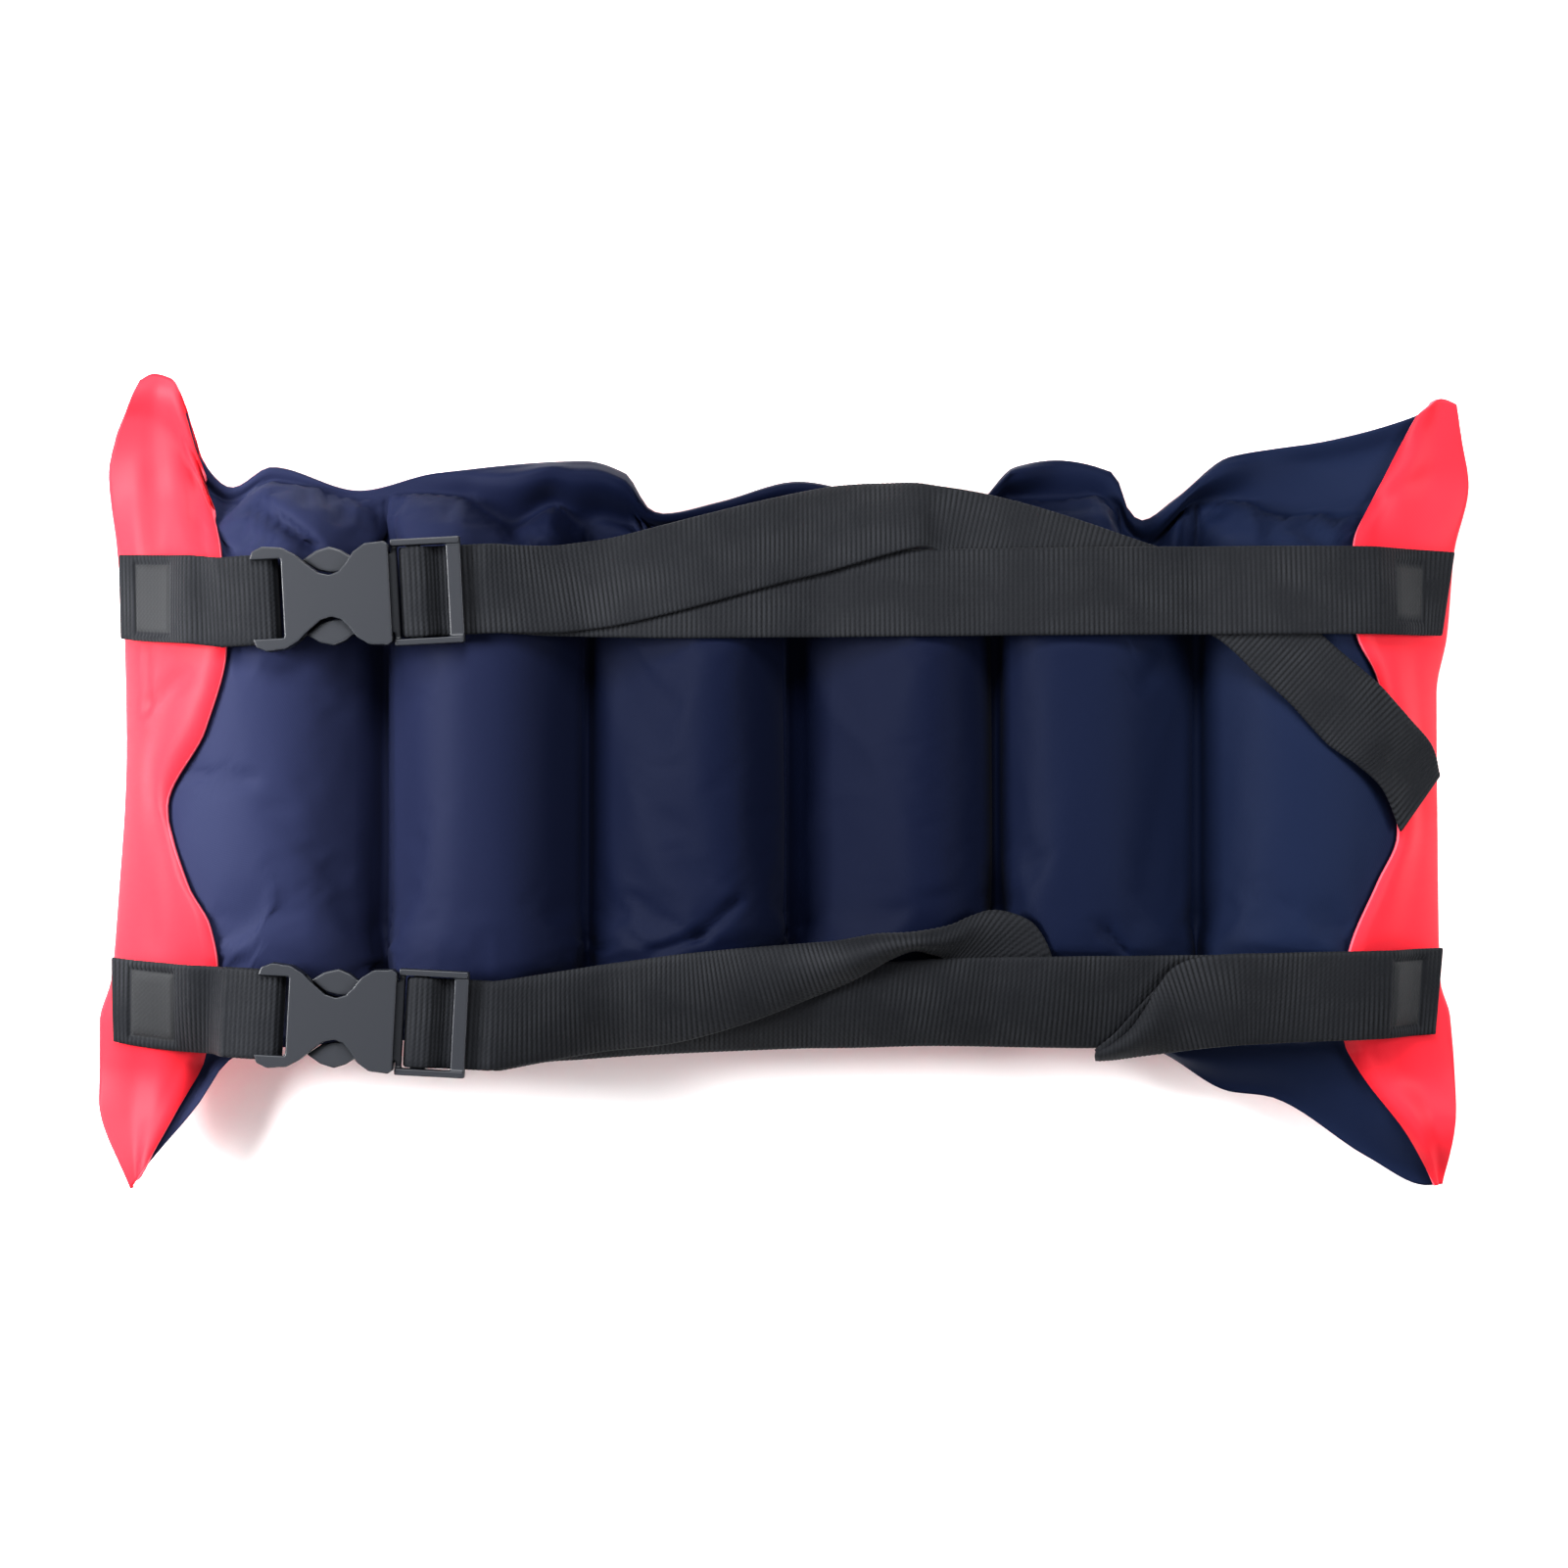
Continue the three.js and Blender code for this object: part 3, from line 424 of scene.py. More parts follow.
class SwimBeltColours(bpy.types.PropertyGroup):
    """Colours of the belt's materials."""

    # Navy tones along the belt: a real drift from purplish to blue, with painted light that lightens both
    # ends and painted shade that darkens the middle tubes.
    navy: FloatVectorProperty(
        name="Navy", description="Coated navy fabric at the left end of the wearer's side",
        default=(0.0205, 0.025, 0.0585), min=0.0, max=1.0, size=3, subtype="COLOR",
    )
    # Painted shade: the middle tubes' navy is darkened.
    navy_middle_shade: FloatVectorProperty(
        name="Cool navy", description="Darker, bluer navy of the middle tubes",
        default=(0.0024, 0.0054, 0.021), min=0.0, max=1.0, size=3, subtype="COLOR",
    )
    # Painted light: the right end's navy is lightened.
    navy_end_light: FloatVectorProperty(
        name="End navy", description="Brighter, bluer navy at the right end",
        default=(0.0082, 0.0148, 0.0395), min=0.0, max=1.0, size=3, subtype="COLOR",
    )
    red: FloatVectorProperty(
        name="Red", description="Coated red fabric of the far side",
        default=(0.56, 0.025, 0.042), min=0.0, max=1.0, size=3, subtype="COLOR",
    )
    cut_edge: FloatVectorProperty(
        name="Cut edge", description="Pale cut edge of the red fabric",
        default=(0.60, 0.10, 0.135), min=0.0, max=1.0, size=3, subtype="COLOR",
    )
    # Painted shade: the grooves between the ribs are darker than the rib tops.
    webbing: FloatVectorProperty(
        name="Webbing", description="Grooves between the black webbing's ribs",
        default=(0.0033, 0.0038, 0.0048), min=0.0, max=1.0, size=3, subtype="COLOR",
    )
    # Painted highlight: the rib tops are lighter than the grooves.
    rib_highlight: FloatVectorProperty(
        name="Webbing thread", description="Raised ribs of the black webbing",
        default=(0.023, 0.0245, 0.0285), min=0.0, max=1.0, size=3, subtype="COLOR",
    )
    # Webbing where the painted rib highlights fade, in the patches of scuffing and painted sheen.
    webbing_plain: FloatVectorProperty(
        name="Plain webbing", description="Stretches of the black webbing where the ribs are faint",
        default=(0.0112, 0.0122, 0.015), min=0.0, max=1.0, size=3, subtype="COLOR",
    )
    pressed: FloatVectorProperty(
        name="Pressed webbing", description="Smooth heat-pressed marks on the black webbing",
        default=(0.028, 0.029, 0.031), min=0.0, max=1.0, size=3, subtype="COLOR",
    )
    plastic: FloatVectorProperty(
        name="Buckle plastic", description="Moulded buckle plastic",
        default=(0.020, 0.022, 0.027), min=0.0, max=1.0, size=3, subtype="COLOR",
    )
    floor: FloatVectorProperty(
        name="Floor", description="Plain pale floor",
        default=(0.92, 0.92, 0.92), min=0.0, max=1.0, size=3, subtype="COLOR",
    )


def sizes():
    return bpy.context.scene.swim_belt_sizes


def colours():
    return bpy.context.scene.swim_belt_colours


def lerp(start, end, part):
    return start + (end - start) * part


def smoothstep(value, low, high):
    part = np.clip((value - low) / (high - low), 0, 1)
    return part * part * (3 - 2 * part)


def line_distance(x, y, x0, y0, x1, y1):
    """Distance in plan from a line between two points."""
    length = max((x1 - x0) ** 2 + (y1 - y0) ** 2, LEAST)
    t = np.clip(((x - x0) * (x1 - x0) + (y - y0) * (y1 - y0)) / length, 0, 1)
    return np.hypot(x - lerp(x0, x1, t), y - lerp(y0, y1, t))


def curve_through(rows):
    """A smooth curve through (place, value) rows that makes no overshoot between them."""
    places, values = np.array(sorted(rows), dtype=float).T
    steps = np.diff(values) / np.diff(places)
    before = np.concatenate((steps[:1], steps))
    after = np.concatenate((steps, steps[-1:]))
    same_way = before * after > 0
    slopes = np.where(same_way, 2 * before * after / np.where(same_way, before + after, 1), 0)

    def curve(place):
        x = np.clip(place, places[0], places[-1])
        i = np.clip(np.searchsorted(places, x) - 1, 0, len(steps) - 1)
        width = places[i + 1] - places[i]
        t = (x - places[i]) / width
        start = values[i] * (1 + 2 * t) + width * slopes[i] * t
        end = values[i + 1] * (3 - 2 * t) + width * slopes[i + 1] * (t - 1)
        return start * (1 - t) ** 2 + end * t ** 2

    return curve


top_rim = curve_through(TOP_RIM)
tube_top = curve_through(TUBE_TOPS)
tube_bottom = curve_through(TUBE_BOTTOMS)
flap_lift = curve_through([row[:2] for row in FLAP])
flap_roll = curve_through([row[::2] for row in FLAP])
bottom_rim = curve_through(BOTTOM_RIM)
left_edge = curve_through(LEFT_EDGE)
left_join = curve_through(LEFT_JOIN)
right_join = curve_through(RIGHT_JOIN)
right_edge = curve_through(RIGHT_EDGE)


def across_line(curve, rows):
    """A line over the belt from the lower rim to the upper one, as x for a part (v) of its length."""
    low, high = rows[-1][0], rows[0][0]
    return lambda v: curve(lerp(low, high, v))


def seam_line(x):
    return lambda v: x + 0 * v


ACROSS_LINES = (
    across_line(left_edge, LEFT_EDGE), across_line(left_join, LEFT_JOIN),
    *(seam_line(x) for x in TUBE_SEAMS),
    across_line(right_join, RIGHT_JOIN), across_line(right_edge, RIGHT_EDGE),
)
LEFT_WRAP = 0
RIGHT_WRAP = len(ACROSS_LINES) - 2


def plan_points(bay, f, v):
    """Places in plan: part way (f) across a bay between two lines, and part way (v) up it."""
    left, right = ACROSS_LINES[bay], ACROSS_LINES[bay + 1]
    low = bottom_rim(lerp(left(0.0), right(0.0), f))
    high = top_rim(lerp(left(1.0), right(1.0), f))
    return lerp(left(v), right(v), f), lerp(low, high, v)


def wrap_points(bay, from_edge, v):
    """Places on a wrap, counted from its outer edge whichever end of the belt it is at."""
    return plan_points(bay, from_edge if bay == LEFT_WRAP else 1 - from_edge, v)


def rounded(f, exponents):
    """Height of a rounded section at a part f of its width, from 0 at the sides to 1."""
    bend, rise = exponents
    return (1 - np.abs(2 * np.clip(f, 0, 1) - 1) ** bend) ** rise


def tube_section(x, y):
    """Height of the tubes' section at a place, from 0 at the weld lines to 1 on a crest."""
    first, last = TUBE_SEAMS[0], TUBE_SEAMS[-1]
    from_left = (x - left_edge(y)) / (first - left_edge(y))
    from_right = (right_edge(y) - x) / (right_edge(y) - last)
    seams = np.array(TUBE_SEAMS)
    i = np.clip(np.searchsorted(seams, x), 1, len(seams) - 1)
    part = np.clip((x - seams[i - 1]) / (seams[i] - seams[i - 1]), 0, 1)
    between = rounded(part ** (math.log(0.5) / np.log(TUBE_CRESTS))[i - 1], TUBE_ROUND)
    from_end = np.where(x < first, from_left, from_right)
    end_tube = np.where(from_end < 0.5, rounded(from_end, OUTER_ROUND), rounded(from_end, TUBE_ROUND))
    return np.where((x < first) | (x > last), end_tube, between)


def inflation(x, y):
    """How full of air the belt is at a place, from 0 at welds and rims to 1 on a crest."""
    low = np.maximum(bottom_rim(x) + RIM_FLANGE, tube_bottom(x))
    high = np.minimum(top_rim(x) - RIM_FLANGE, tube_top(x))
    part = (y - low) / (high - low)
    end = lerp(rounded(part, TUBE_END), rounded(part, EAR_END), smoothstep(np.abs(x), *EAR_TAPER))
    soft = 1 - smoothstep(x, *SOFT_ZONE) * (1 - smoothstep(part, *SOFT_START))
    return tube_section(x, y) * end * soft


def mid_height(x, y):
    """Height between the two walls where they meet, with the curl of the corners and of the upper flap."""
    along, across = EAR_ZONE
    corner = smoothstep(np.abs(x), *along) * smoothstep(np.abs(y), *across)
    start = np.minimum(top_rim(x) - RIM_FLANGE, tube_top(x))
    part = np.clip((y - start) / (top_rim(x) - start), 0, 1)
    curl = flap_lift(x) * (smoothstep(part, *FLAP_RISE) - flap_roll(x) * smoothstep(part, *FLAP_ROLL))
    end = np.maximum(bottom_rim(x) + RIM_FLANGE, tube_bottom(x))
    below = np.clip((end - y) / (end - bottom_rim(x)), 0, 1)
    droop = (FLAP_DROOP + EAR_CURL * corner) * smoothstep(below, 0, 1) * smoothstep(x, *DROOP_ZONE)
    return sizes().mid_height / MM + EAR_CURL * corner + curl - droop


def weld_half(x, y):
    """Upright half distance between the walls' outer faces where they meet, more where they are steep."""
    slope_x = (mid_height(x + SLOPE_STEP, y) - mid_height(x - SLOPE_STEP, y)) / (2 * SLOPE_STEP)
    slope_y = (mid_height(x, y + SLOPE_STEP) - mid_height(x, y - SLOPE_STEP)) / (2 * SLOPE_STEP)
    steepness = np.minimum(np.sqrt(1 + slope_x ** 2 + slope_y ** 2), STEEPEST)
    return (SEAM_GAP / 2 + sizes().fabric_wall / MM) * steepness


def fold_depth(x, y):
    """Depth of the dents and creases at a place, below nought on a ridge."""
    total = np.zeros(np.broadcast(x, y).shape)
    for x0, y0, x1, y1, width, depth in FOLDS:
        away = line_distance(x, y, x0, y0, x1, y1) / width
        total = total + depth * np.exp(-away * away)
    return total


def top_height(x, y):
    """Height of the upper surface, before any lap."""
    lift = weld_half(x, y)
    rise = (sizes().crest_height - sizes().mid_height) / MM - lift
    return mid_height(x, y) + lift + inflation(x, y) * (rise - fold_depth(x, y))


def under_height(x, y):
    """Height of the under surface, flattened where it rests."""
    flat = mid_height(x, y) - weld_half(x, y)
    return np.maximum(0, flat - inflation(x, y) * (flat + sizes().floor_squash / MM))


def lap_rise(f):
    """Rise of the red wall over the navy one, for a part f of a wrap from edge to join."""
    return (sizes().fabric_wall / MM + LAP_GAP) * smoothstep(f, *LAP_ZONE)


def lap_place(bay, v):
    """Part of a wrap's width, from edge to join, where the navy wall ends under the red one."""
    width = np.abs(ACROSS_LINES[bay](v) - ACROSS_LINES[bay + 1](v))
    return 1 - np.minimum(LAP_WIDTH / width, LAP_MOST)


def fabric_top(x, y):
    """Height of the upper surface with the laps at both ends."""
    wrap_left = (x - left_edge(y)) / (left_join(y) - left_edge(y))
    wrap_right = (right_edge(y) - x) / (right_edge(y) - right_join(y))
    wrap = np.minimum(wrap_left, wrap_right)
    return top_height(x, y) + np.where(wrap < 1, lap_rise(wrap), 0)


def strap_bed(x, y):
    """Height of a taut strap's bed: the fabric, bridged from crest to crest by a shallow arc."""
    at_end = smoothstep(np.abs(x), *END_ZONE)
    radius = lerp(BRIDGE_RADIUS, BRIDGE_END_RADIUS, at_end)
    across_radius = lerp(BRIDGE_ACROSS, BRIDGE_END_RADIUS, at_end)
    bed = np.zeros_like(x)
    for dx in range(-BRIDGE_REACH, BRIDGE_REACH + 1, BRIDGE_STEP):
        for dy in range(-BRIDGE_ACROSS_REACH, BRIDGE_ACROSS_REACH + 1, BRIDGE_STEP):
            drop = dx * dx / (2 * radius) + dy * dy / (2 * across_radius)
            bed = np.maximum(bed, fabric_top(x + dx, y + dy) - drop)
    return bed


def smooth_path(points, places):
    """Points on a centripetal Catmull-Rom curve at places from 0 to 1, with an equal part for each span."""
    points = np.asarray(points, dtype=float)
    padded = np.vstack((2 * points[0] - points[1], points, 2 * points[-1] - points[-2]))
    spans = len(points) - 1
    at = np.clip(np.asarray(places) * spans, 0, spans * JUST_UNDER_ONE)
    i = at.astype(int)
    t = (at - i)[:, None]
    p0, p1, p2, p3 = (padded[i + k] for k in range(4))
    d0, d1, d2 = (
        np.maximum(np.linalg.norm(b - a, axis=1), LEAST_SPAN)[:, None] ** 0.5
        for a, b in ((p0, p1), (p1, p2), (p2, p3))
    )
    leave = ((p1 - p0) / d0 - (p2 - p0) / (d0 + d1) + (p2 - p1) / d1) * d1
    arrive = ((p2 - p1) / d1 - (p3 - p1) / (d1 + d2) + (p3 - p2) / d2) * d1
    square = 3 * (p2 - p1) - 2 * leave - arrive
    cube = 2 * (p1 - p2) + leave + arrive
    return p1 + leave * t + square * t ** 2 + cube * t ** 3


def even_points(points, pitch):
    """Points of a dense polyline of stations, set at an even pitch along its middle, and their distances."""
    steps = np.linalg.norm(np.diff(points[:, 1], axis=0), axis=1)
    distances = np.concatenate(((0,), np.cumsum(steps)))
    even = np.linspace(0, distances[-1], round(distances[-1] / pitch) + 1)
    columns = points.reshape(len(points), -1).T
    placed = np.stack([np.interp(even, distances, column) for column in columns], axis=1)
    return placed.reshape(-1, 3, 3), even


def lying_stations(rows):
    """Edge, middle and edge points of webbing that lies on the belt, on the middle of its thickness."""
    table = np.array(rows, dtype=float)
    spans = len(table) - 1
    lengths = np.linalg.norm(np.diff(table[:, :2], axis=0), axis=1)
    places = [
        (i + step / count) / spans
        for i, count in enumerate(np.ceil(lengths / STATION_PITCH).astype(int))
        for step in range(count)
    ]
    upper = smooth_path(table[:, (0, 1, 4)], [*places, 1])
    lower = smooth_path(table[:, (2, 3, 5)], [*places, 1])
    stations = []
    for part, ridged in ((0, 0), (0.5, 1), (1, 0)):
        x, y = lerp(upper[:, 0], lower[:, 0], part), lerp(upper[:, 1], lower[:, 1], part)
        lift = BED_GAP + sizes().webbing_thickness / MM / 2 + upper[:, 2] * LAYER_PITCH + ridged * lower[:, 2]
        stations.append(np.stack((x, y, strap_bed(x, y) + lift), axis=1))
    return np.stack(stations, axis=1)


def buckle_matrix(end):
    """Rotation and shift, in millimetres, from a buckle's own frame to the belt's."""
    x, y, lean = BUCKLES[end]
    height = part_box(f"{end}_buckle_socket")[0][2] / MM - SOCKET_LOW
    turn = math.radians(lean)
    rotation = np.array((
        (math.cos(turn), -math.sin(turn), 0),
        (math.sin(turn), math.cos(turn), 0),
        (0, 0, 1),
    ))
    return rotation, np.array((x, y, height))


def loop_stations(end, rows):
    """Edge, middle and edge points of webbing that loops round a buckle's bar."""
    rotation, shift = buckle_matrix(end)
    path = smooth_path(rows, np.linspace(0, 1, LOOP_STEPS * (len(rows) - 1) + 1))
    half = sizes().webbing_width / MM / 2
    stations = [
        np.stack((path[:, 0], np.full(len(path), side * half), path[:, 1]), axis=1) @ rotation.T + shift
        for side in (1, 0, -1)
    ]
    return np.stack(stations, axis=1)


def mesh_piece(name, points, faces):
    """An object with a plain mesh of points in millimetres."""
    mesh = bpy.data.meshes.new(name)
    mesh.from_pydata((np.asarray(points) * MM).tolist(), [], faces)
    mesh.validate()
    piece = bpy.data.objects.new(name, mesh)
    bpy.context.scene.collection.objects.link(piece)
    return piece


def bake_modifiers(piece):
    """Turns a piece's modifiers into a plain mesh."""
    graph = bpy.context.evaluated_depsgraph_get()
    mesh = bpy.data.meshes.new_from_object(piece.evaluated_get(graph), depsgraph=graph)
    piece.modifiers.clear()
    piece.data = mesh


def mesh_points(mesh):
    """Points of a mesh, in metres, one in each row."""
    points = np.empty(len(mesh.vertices) * 3, dtype=np.float32)
    mesh.vertices.foreach_get("co", points)
    return points.reshape(-1, 3)


def place_points(mesh, points):
    """Moves the points of a mesh to new places in metres."""
    mesh.vertices.foreach_set("co", points.astype(np.float32).ravel())
    mesh.update()


def add_uv(mesh, name, pairs):
    """A UV map from the pair of values of each point."""
    corners = np.empty(len(mesh.loops), dtype=np.int32)
    mesh.loops.foreach_get("vertex_index", corners)
    mesh.uv_layers.new(name=name).uv.foreach_set("vector", pairs[corners].astype(np.float32).ravel())


def rest_on_floor(piece):
    """Lifts any point of a piece that is under the floor on to it."""
    points = mesh_points(piece.data)
    points[:, 2] = np.maximum(points[:, 2], 0)
    place_points(piece.data, points)


def smooth_shade(piece):
    piece.data.polygons.foreach_set("use_smooth", np.ones(len(piece.data.polygons), dtype=bool))


def finish_piece(piece, node):
    """Puts a piece on the belt's one body in the place of a plain solid."""
    if not piece.data.polygons:
        raise RuntimeError(f"{piece.name} has no faces")
    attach(piece, "root")
    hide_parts(node)


def spaced(count):
    """Parts from 0 to 1 for the walls' grid lines, closer together at both ends."""
    part = np.linspace(0, 1, count)
    return 0.5 * part + 0.25 * (1 - np.cos(np.pi * part))


def body_columns():
    """Bay and part of it for the grid columns from the left join to the right one."""
    columns = []
    last = RIGHT_WRAP - 1
    for bay in range(1, RIGHT_WRAP):
        count = END_COLUMNS if bay in (1, last) else TUBE_COLUMNS
        columns += [(bay, f) for f in spaced(count + 1)[:count]]
    return [*columns, (last, 1.0)]


def grid_column(x, y, height):
    return np.stack((x, y, height), axis=1)


def inner_grid():
    """Outer surface of the navy wall, from its left edge under the red wrap to its right one."""
    v = spaced(ROWS)

    def lap_column(bay):
        x, y = wrap_points(bay, lap_place(bay, v), v)
        return grid_column(x, y, top_height(x, y))

    def body_column(bay, f):
        x, y = plan_points(bay, f, v)
        return grid_column(x, y, top_height(x, y))

    body = [body_column(bay, f) for bay, f in body_columns()]
    return np.stack([lap_column(LEFT_WRAP), *body, lap_column(RIGHT_WRAP)])


def outer_grid():
    """Outer surface of the red wall: left upper wrap, underside and right upper wrap."""
    v = spaced(ROWS)
    parts = np.linspace(0, 1, WRAP_COLUMNS + 1)[1:] ** WRAP_SPACING

    def upper_column(bay, part):
        place = part * lap_place(bay, v) if part < 1 else np.ones_like(v)
        x, y = wrap_points(bay, place, v)
        return grid_column(x, y, top_height(x, y) + lap_rise(place))

    def edge_column(bay):
        x, y = wrap_points(bay, 0.0, v)
        return grid_column(x, y, mid_height(x, y))

    def lower_column(bay, part):
        x, y = wrap_points(bay, part, v)
        return grid_column(x, y, under_height(x, y))

    def body_column(bay, f):
        from_join = f if bay == 1 else 1 - f if bay == RIGHT_WRAP - 1 else 1
        inset = RIM_INSET * smoothstep(from_join, *INSET_ZONE)
        rim = lerp(ACROSS_LINES[bay](1.0), ACROSS_LINES[bay + 1](1.0), f)
        slope = (top_rim(rim + SLOPE_STEP) - top_rim(rim - SLOPE_STEP)) / (2 * SLOPE_STEP)
        x, y = plan_points(bay, f, lerp(inset, 1 - inset * min(math.hypot(1, slope), STEEPEST_RIM), v))
        return grid_column(x, y, under_height(x, y))

    lower = parts[:-1]
    return np.stack([
        *(upper_column(LEFT_WRAP, part) for part in parts[::-1]),
        edge_column(LEFT_WRAP),
        *(lower_column(LEFT_WRAP, part) for part in lower),
        *(body_column(bay, f) for bay, f in body_columns()),
        *(lower_column(RIGHT_WRAP, part) for part in lower[::-1]),
        edge_column(RIGHT_WRAP),
        *(upper_column(RIGHT_WRAP, part) for part in parts),
    ])


def grid_faces(columns, rows, turned):
    """Quads of a grid of points, facing up if columns run to the right, or down if turned."""
    c, r = np.meshgrid(np.arange(columns - 1), np.arange(rows - 1), indexing="ij")
    first = (c * rows + r).ravel()
    quads = np.stack((first, first + rows, first + rows + 1, first + 1), axis=1)
    return (quads[:, ::-1] if turned else quads).tolist()


def cloth_uv(mesh, grid):
    """A UV map in metres along the cloth, worked out from the lengths of the grid's lines."""
    across = np.linalg.norm(np.diff(grid, axis=0), axis=2).mean(axis=1)
    up = np.linalg.norm(np.diff(grid, axis=1), axis=2).mean(axis=0)
    u = np.concatenate(((0,), np.cumsum(across))) * MM
    v = np.concatenate(((0,), np.cumsum(up))) * MM
    add_uv(mesh, "cloth", np.stack(np.meshgrid(u, v, indexing="ij"), axis=2).reshape(-1, 2))


def strap_cover(x, y):
    """How far a place is under a strap, from 0 beside the straps to 1 under them."""
    cover = np.zeros_like(x)
    for runs in (ANCHOR_RUNS, WAIST_RUNS, TAILS):
        for rows in runs.values():
            table = np.array(rows, dtype=float)
            for (ax, ay, bx, by), (cx, cy, dx, dy) in zip(table[:-1, :4], table[1:, :4]):
                middle = np.array(((ax + bx) / 2, (ay + by) / 2, (cx + dx) / 2, (cy + dy) / 2))
                away = line_distance(x, y, *middle)
                cover = np.maximum(cover, 1 - smoothstep(away, *COVER_EDGE))
    return cover


def weight_group(piece, name, weights):
    """Adds a vertex group with a weight for each point, and gives its name."""
    group = piece.vertex_groups.new(name=name)
    for i, weight in enumerate(weights.ravel().tolist()):
        group.add([i], weight, "REPLACE")
    return group.name


def settled(grid, held, taut, turned):
    """Shifts of the grid in a short cloth simulation of its spare fabric, held at the welds and rims."""
    columns, rows = grid.shape[:2]
    cloth_piece = mesh_piece("settling_cloth", grid.reshape(-1, 3), grid_faces(columns, rows, turned))
    modifier = cloth_piece.modifiers.new("settle", "CLOTH")
    cloth = modifier.settings
    cloth.vertex_group_mass = weight_group(cloth_piece, "held", held)
    cloth.vertex_group_shrink = weight_group(cloth_piece, "taut", taut)
    cloth.quality = CLOTH_STEPS
    cloth.mass = CLOTH_MASS
    cloth.tension_stiffness = CLOTH_STRETCH
    cloth.compression_stiffness = CLOTH_STRETCH
    cloth.shear_stiffness = CLOTH_SHEAR
    cloth.bending_stiffness = CLOTH_BEND
    cloth.use_pressure = True
    cloth.uniform_pressure_force = CLOTH_PRESSURE
    cloth.shrink_min = -CLOTH_SPARE
    cloth.shrink_max = 0
    cloth.effector_weights.gravity = 0
    modifier.point_cache.frame_start = 1
    modifier.point_cache.frame_end = CLOTH_FRAMES
    scene = bpy.context.scene
    for number in range(1, CLOTH_FRAMES + 1):
        scene.frame_set(number)
    graph = bpy.context.evaluated_depsgraph_get()
    points = mesh_points(cloth_piece.evaluated_get(graph).to_mesh())
    cloth_piece.evaluated_get(graph).to_mesh_clear()
    scene.frame_set(1)
    bpy.data.objects.remove(cloth_piece)
    shift = points.reshape(grid.shape) / MM - grid
    size = np.linalg.norm(shift, axis=2, keepdims=True)
    shift *= np.tanh(size / CLOTH_LIMIT) * CLOTH_LIMIT / np.maximum(size, LEAST)
    return shift


def wrinkled(grid, turned, firm):
    """The grid with the wrinkles of its spare fabric, kept under the straps and above the floor.

    The first and last columns, as many as firm, have no spare fabric. A turned wall, which rests on
    the floor, is only pressed up and down.
    """
    x, y = grid[..., 0], grid[..., 1]
    held = 1 - smoothstep(inflation(x, y), *WELDED)
    held[[0, 1, -2, -1]] = 1
    held[:, [0, -1]] = 1
    taut = (1 - smoothstep(y, *SPARE_ABOVE)) * (1 - smoothstep(-y, *SPARE_BELOW))
    taut[:firm] = 1
    taut[-firm:] = 1
    shift = settled(grid, held, taut, turned)
    if turned:
        shift[..., :2] = 0
    covered = strap_cover(x, y)
    up = shift[..., 2]
    shift[..., 2] = np.where(up > COVER_ROOM, lerp(up, COVER_ROOM, covered), up)
    moved = grid + shift
    moved[..., 2] = np.maximum(moved[..., 2], 0)
    return moved


def fabric_wall(name, grid, turned):
    """A wall of coated fabric: the grid's surface with a thickness on its inner side."""
    columns, rows = grid.shape[:2]
    piece = mesh_piece(name, grid.reshape(-1, 3), grid_faces(columns, rows, turned))
    cloth_uv(piece.data, grid)
    solid = piece.modifiers.new("wall", "SOLIDIFY")
    solid.thickness = sizes().fabric_wall
    solid.offset = -1
    solid.use_even_offset = False
    solid.material_offset_rim = 1
    return piece


def webbing_rings(name, stations, facing):
    """Points of closed rings along a strap, distances along it, shares of the ribs and pressed places.

    Each ring follows a parabola through its station's edge, middle and edge points.
    """
    places = np.linspace(0, 1, DENSE_STEPS * len(stations))
    dense = smooth_path(stations.reshape(len(stations), -1), places)
    pitch = sizes().rib_pitch / MM / ROWS_PER_RIB
    even, along = even_points(dense.reshape(-1, 3, 3), pitch)
    start, middle, end = (even[:, i][:, None] for i in range(3))
    across = np.array((*FACE_COLUMNS, *BACK_COLUMNS))[None, :, None]
    side = np.array([1] * len(FACE_COLUMNS) + [-1] * len(BACK_COLUMNS))[None, :, None]
    centre = start * across * (across - 1) / 2 + middle * (1 - across ** 2) + end * across * (across + 1) / 2
    slope = start * (across - 0.5) - 2 * middle * across + end * (across + 0.5)
    normal = np.cross(slope, np.gradient(centre, axis=0)) * facing
    normal /= np.linalg.norm(normal, axis=2, keepdims=True)
    into_edge = np.clip((np.abs(across) - 1 + SELVEDGE) / SELVEDGE, 0, 1)
    half = sizes().webbing_thickness / MM / 2
    height = half * np.maximum(np.sqrt(1 - into_edge ** 2), SELVEDGE_LEAST)
    mark_from, mark_to, mark_half = PRESS_MARKS[name]
    from_line = np.maximum(
        np.abs(along - (mark_from + mark_to) / 2)[:, None, None] - (mark_to - mark_from) / 2,
        (np.abs(across) - mark_half) * sizes().webbing_width / MM / 2,
    )
    groove = MARK_GROOVE * np.exp(-(from_line / MARK_LINE) ** 2) * (side > 0)
    points = centre + normal * side * (height - groove)
    pressed = np.broadcast_to((from_line < 0) & (side > 0), (*points.shape[:2], 1))[..., 0]
    ribs = np.where(pressed, MARK_SMOOTH, 1) * (1 - SELVEDGE_SMOOTH * into_edge[..., 0])
    return points, along, ribs, pressed


def ring_faces(rows, count, facing):
    """Quads round the rings of a strap, and a face at each end."""
    r, c = np.meshgrid(np.arange(rows - 1), np.arange(count), indexing="ij")
    first, beside = (r * count + c).ravel(), (r * count + (c + 1) % count).ravel()
    quads = np.stack((first, beside, beside + count, first + count), axis=1)
    start = list(range(count))
    end = [(rows - 1) * count + i for i in range(count)]
    if facing < 0:
        return [*quads[:, ::-1].tolist(), start, end[::-1]]
    return [*quads.tolist(), start[::-1], end]


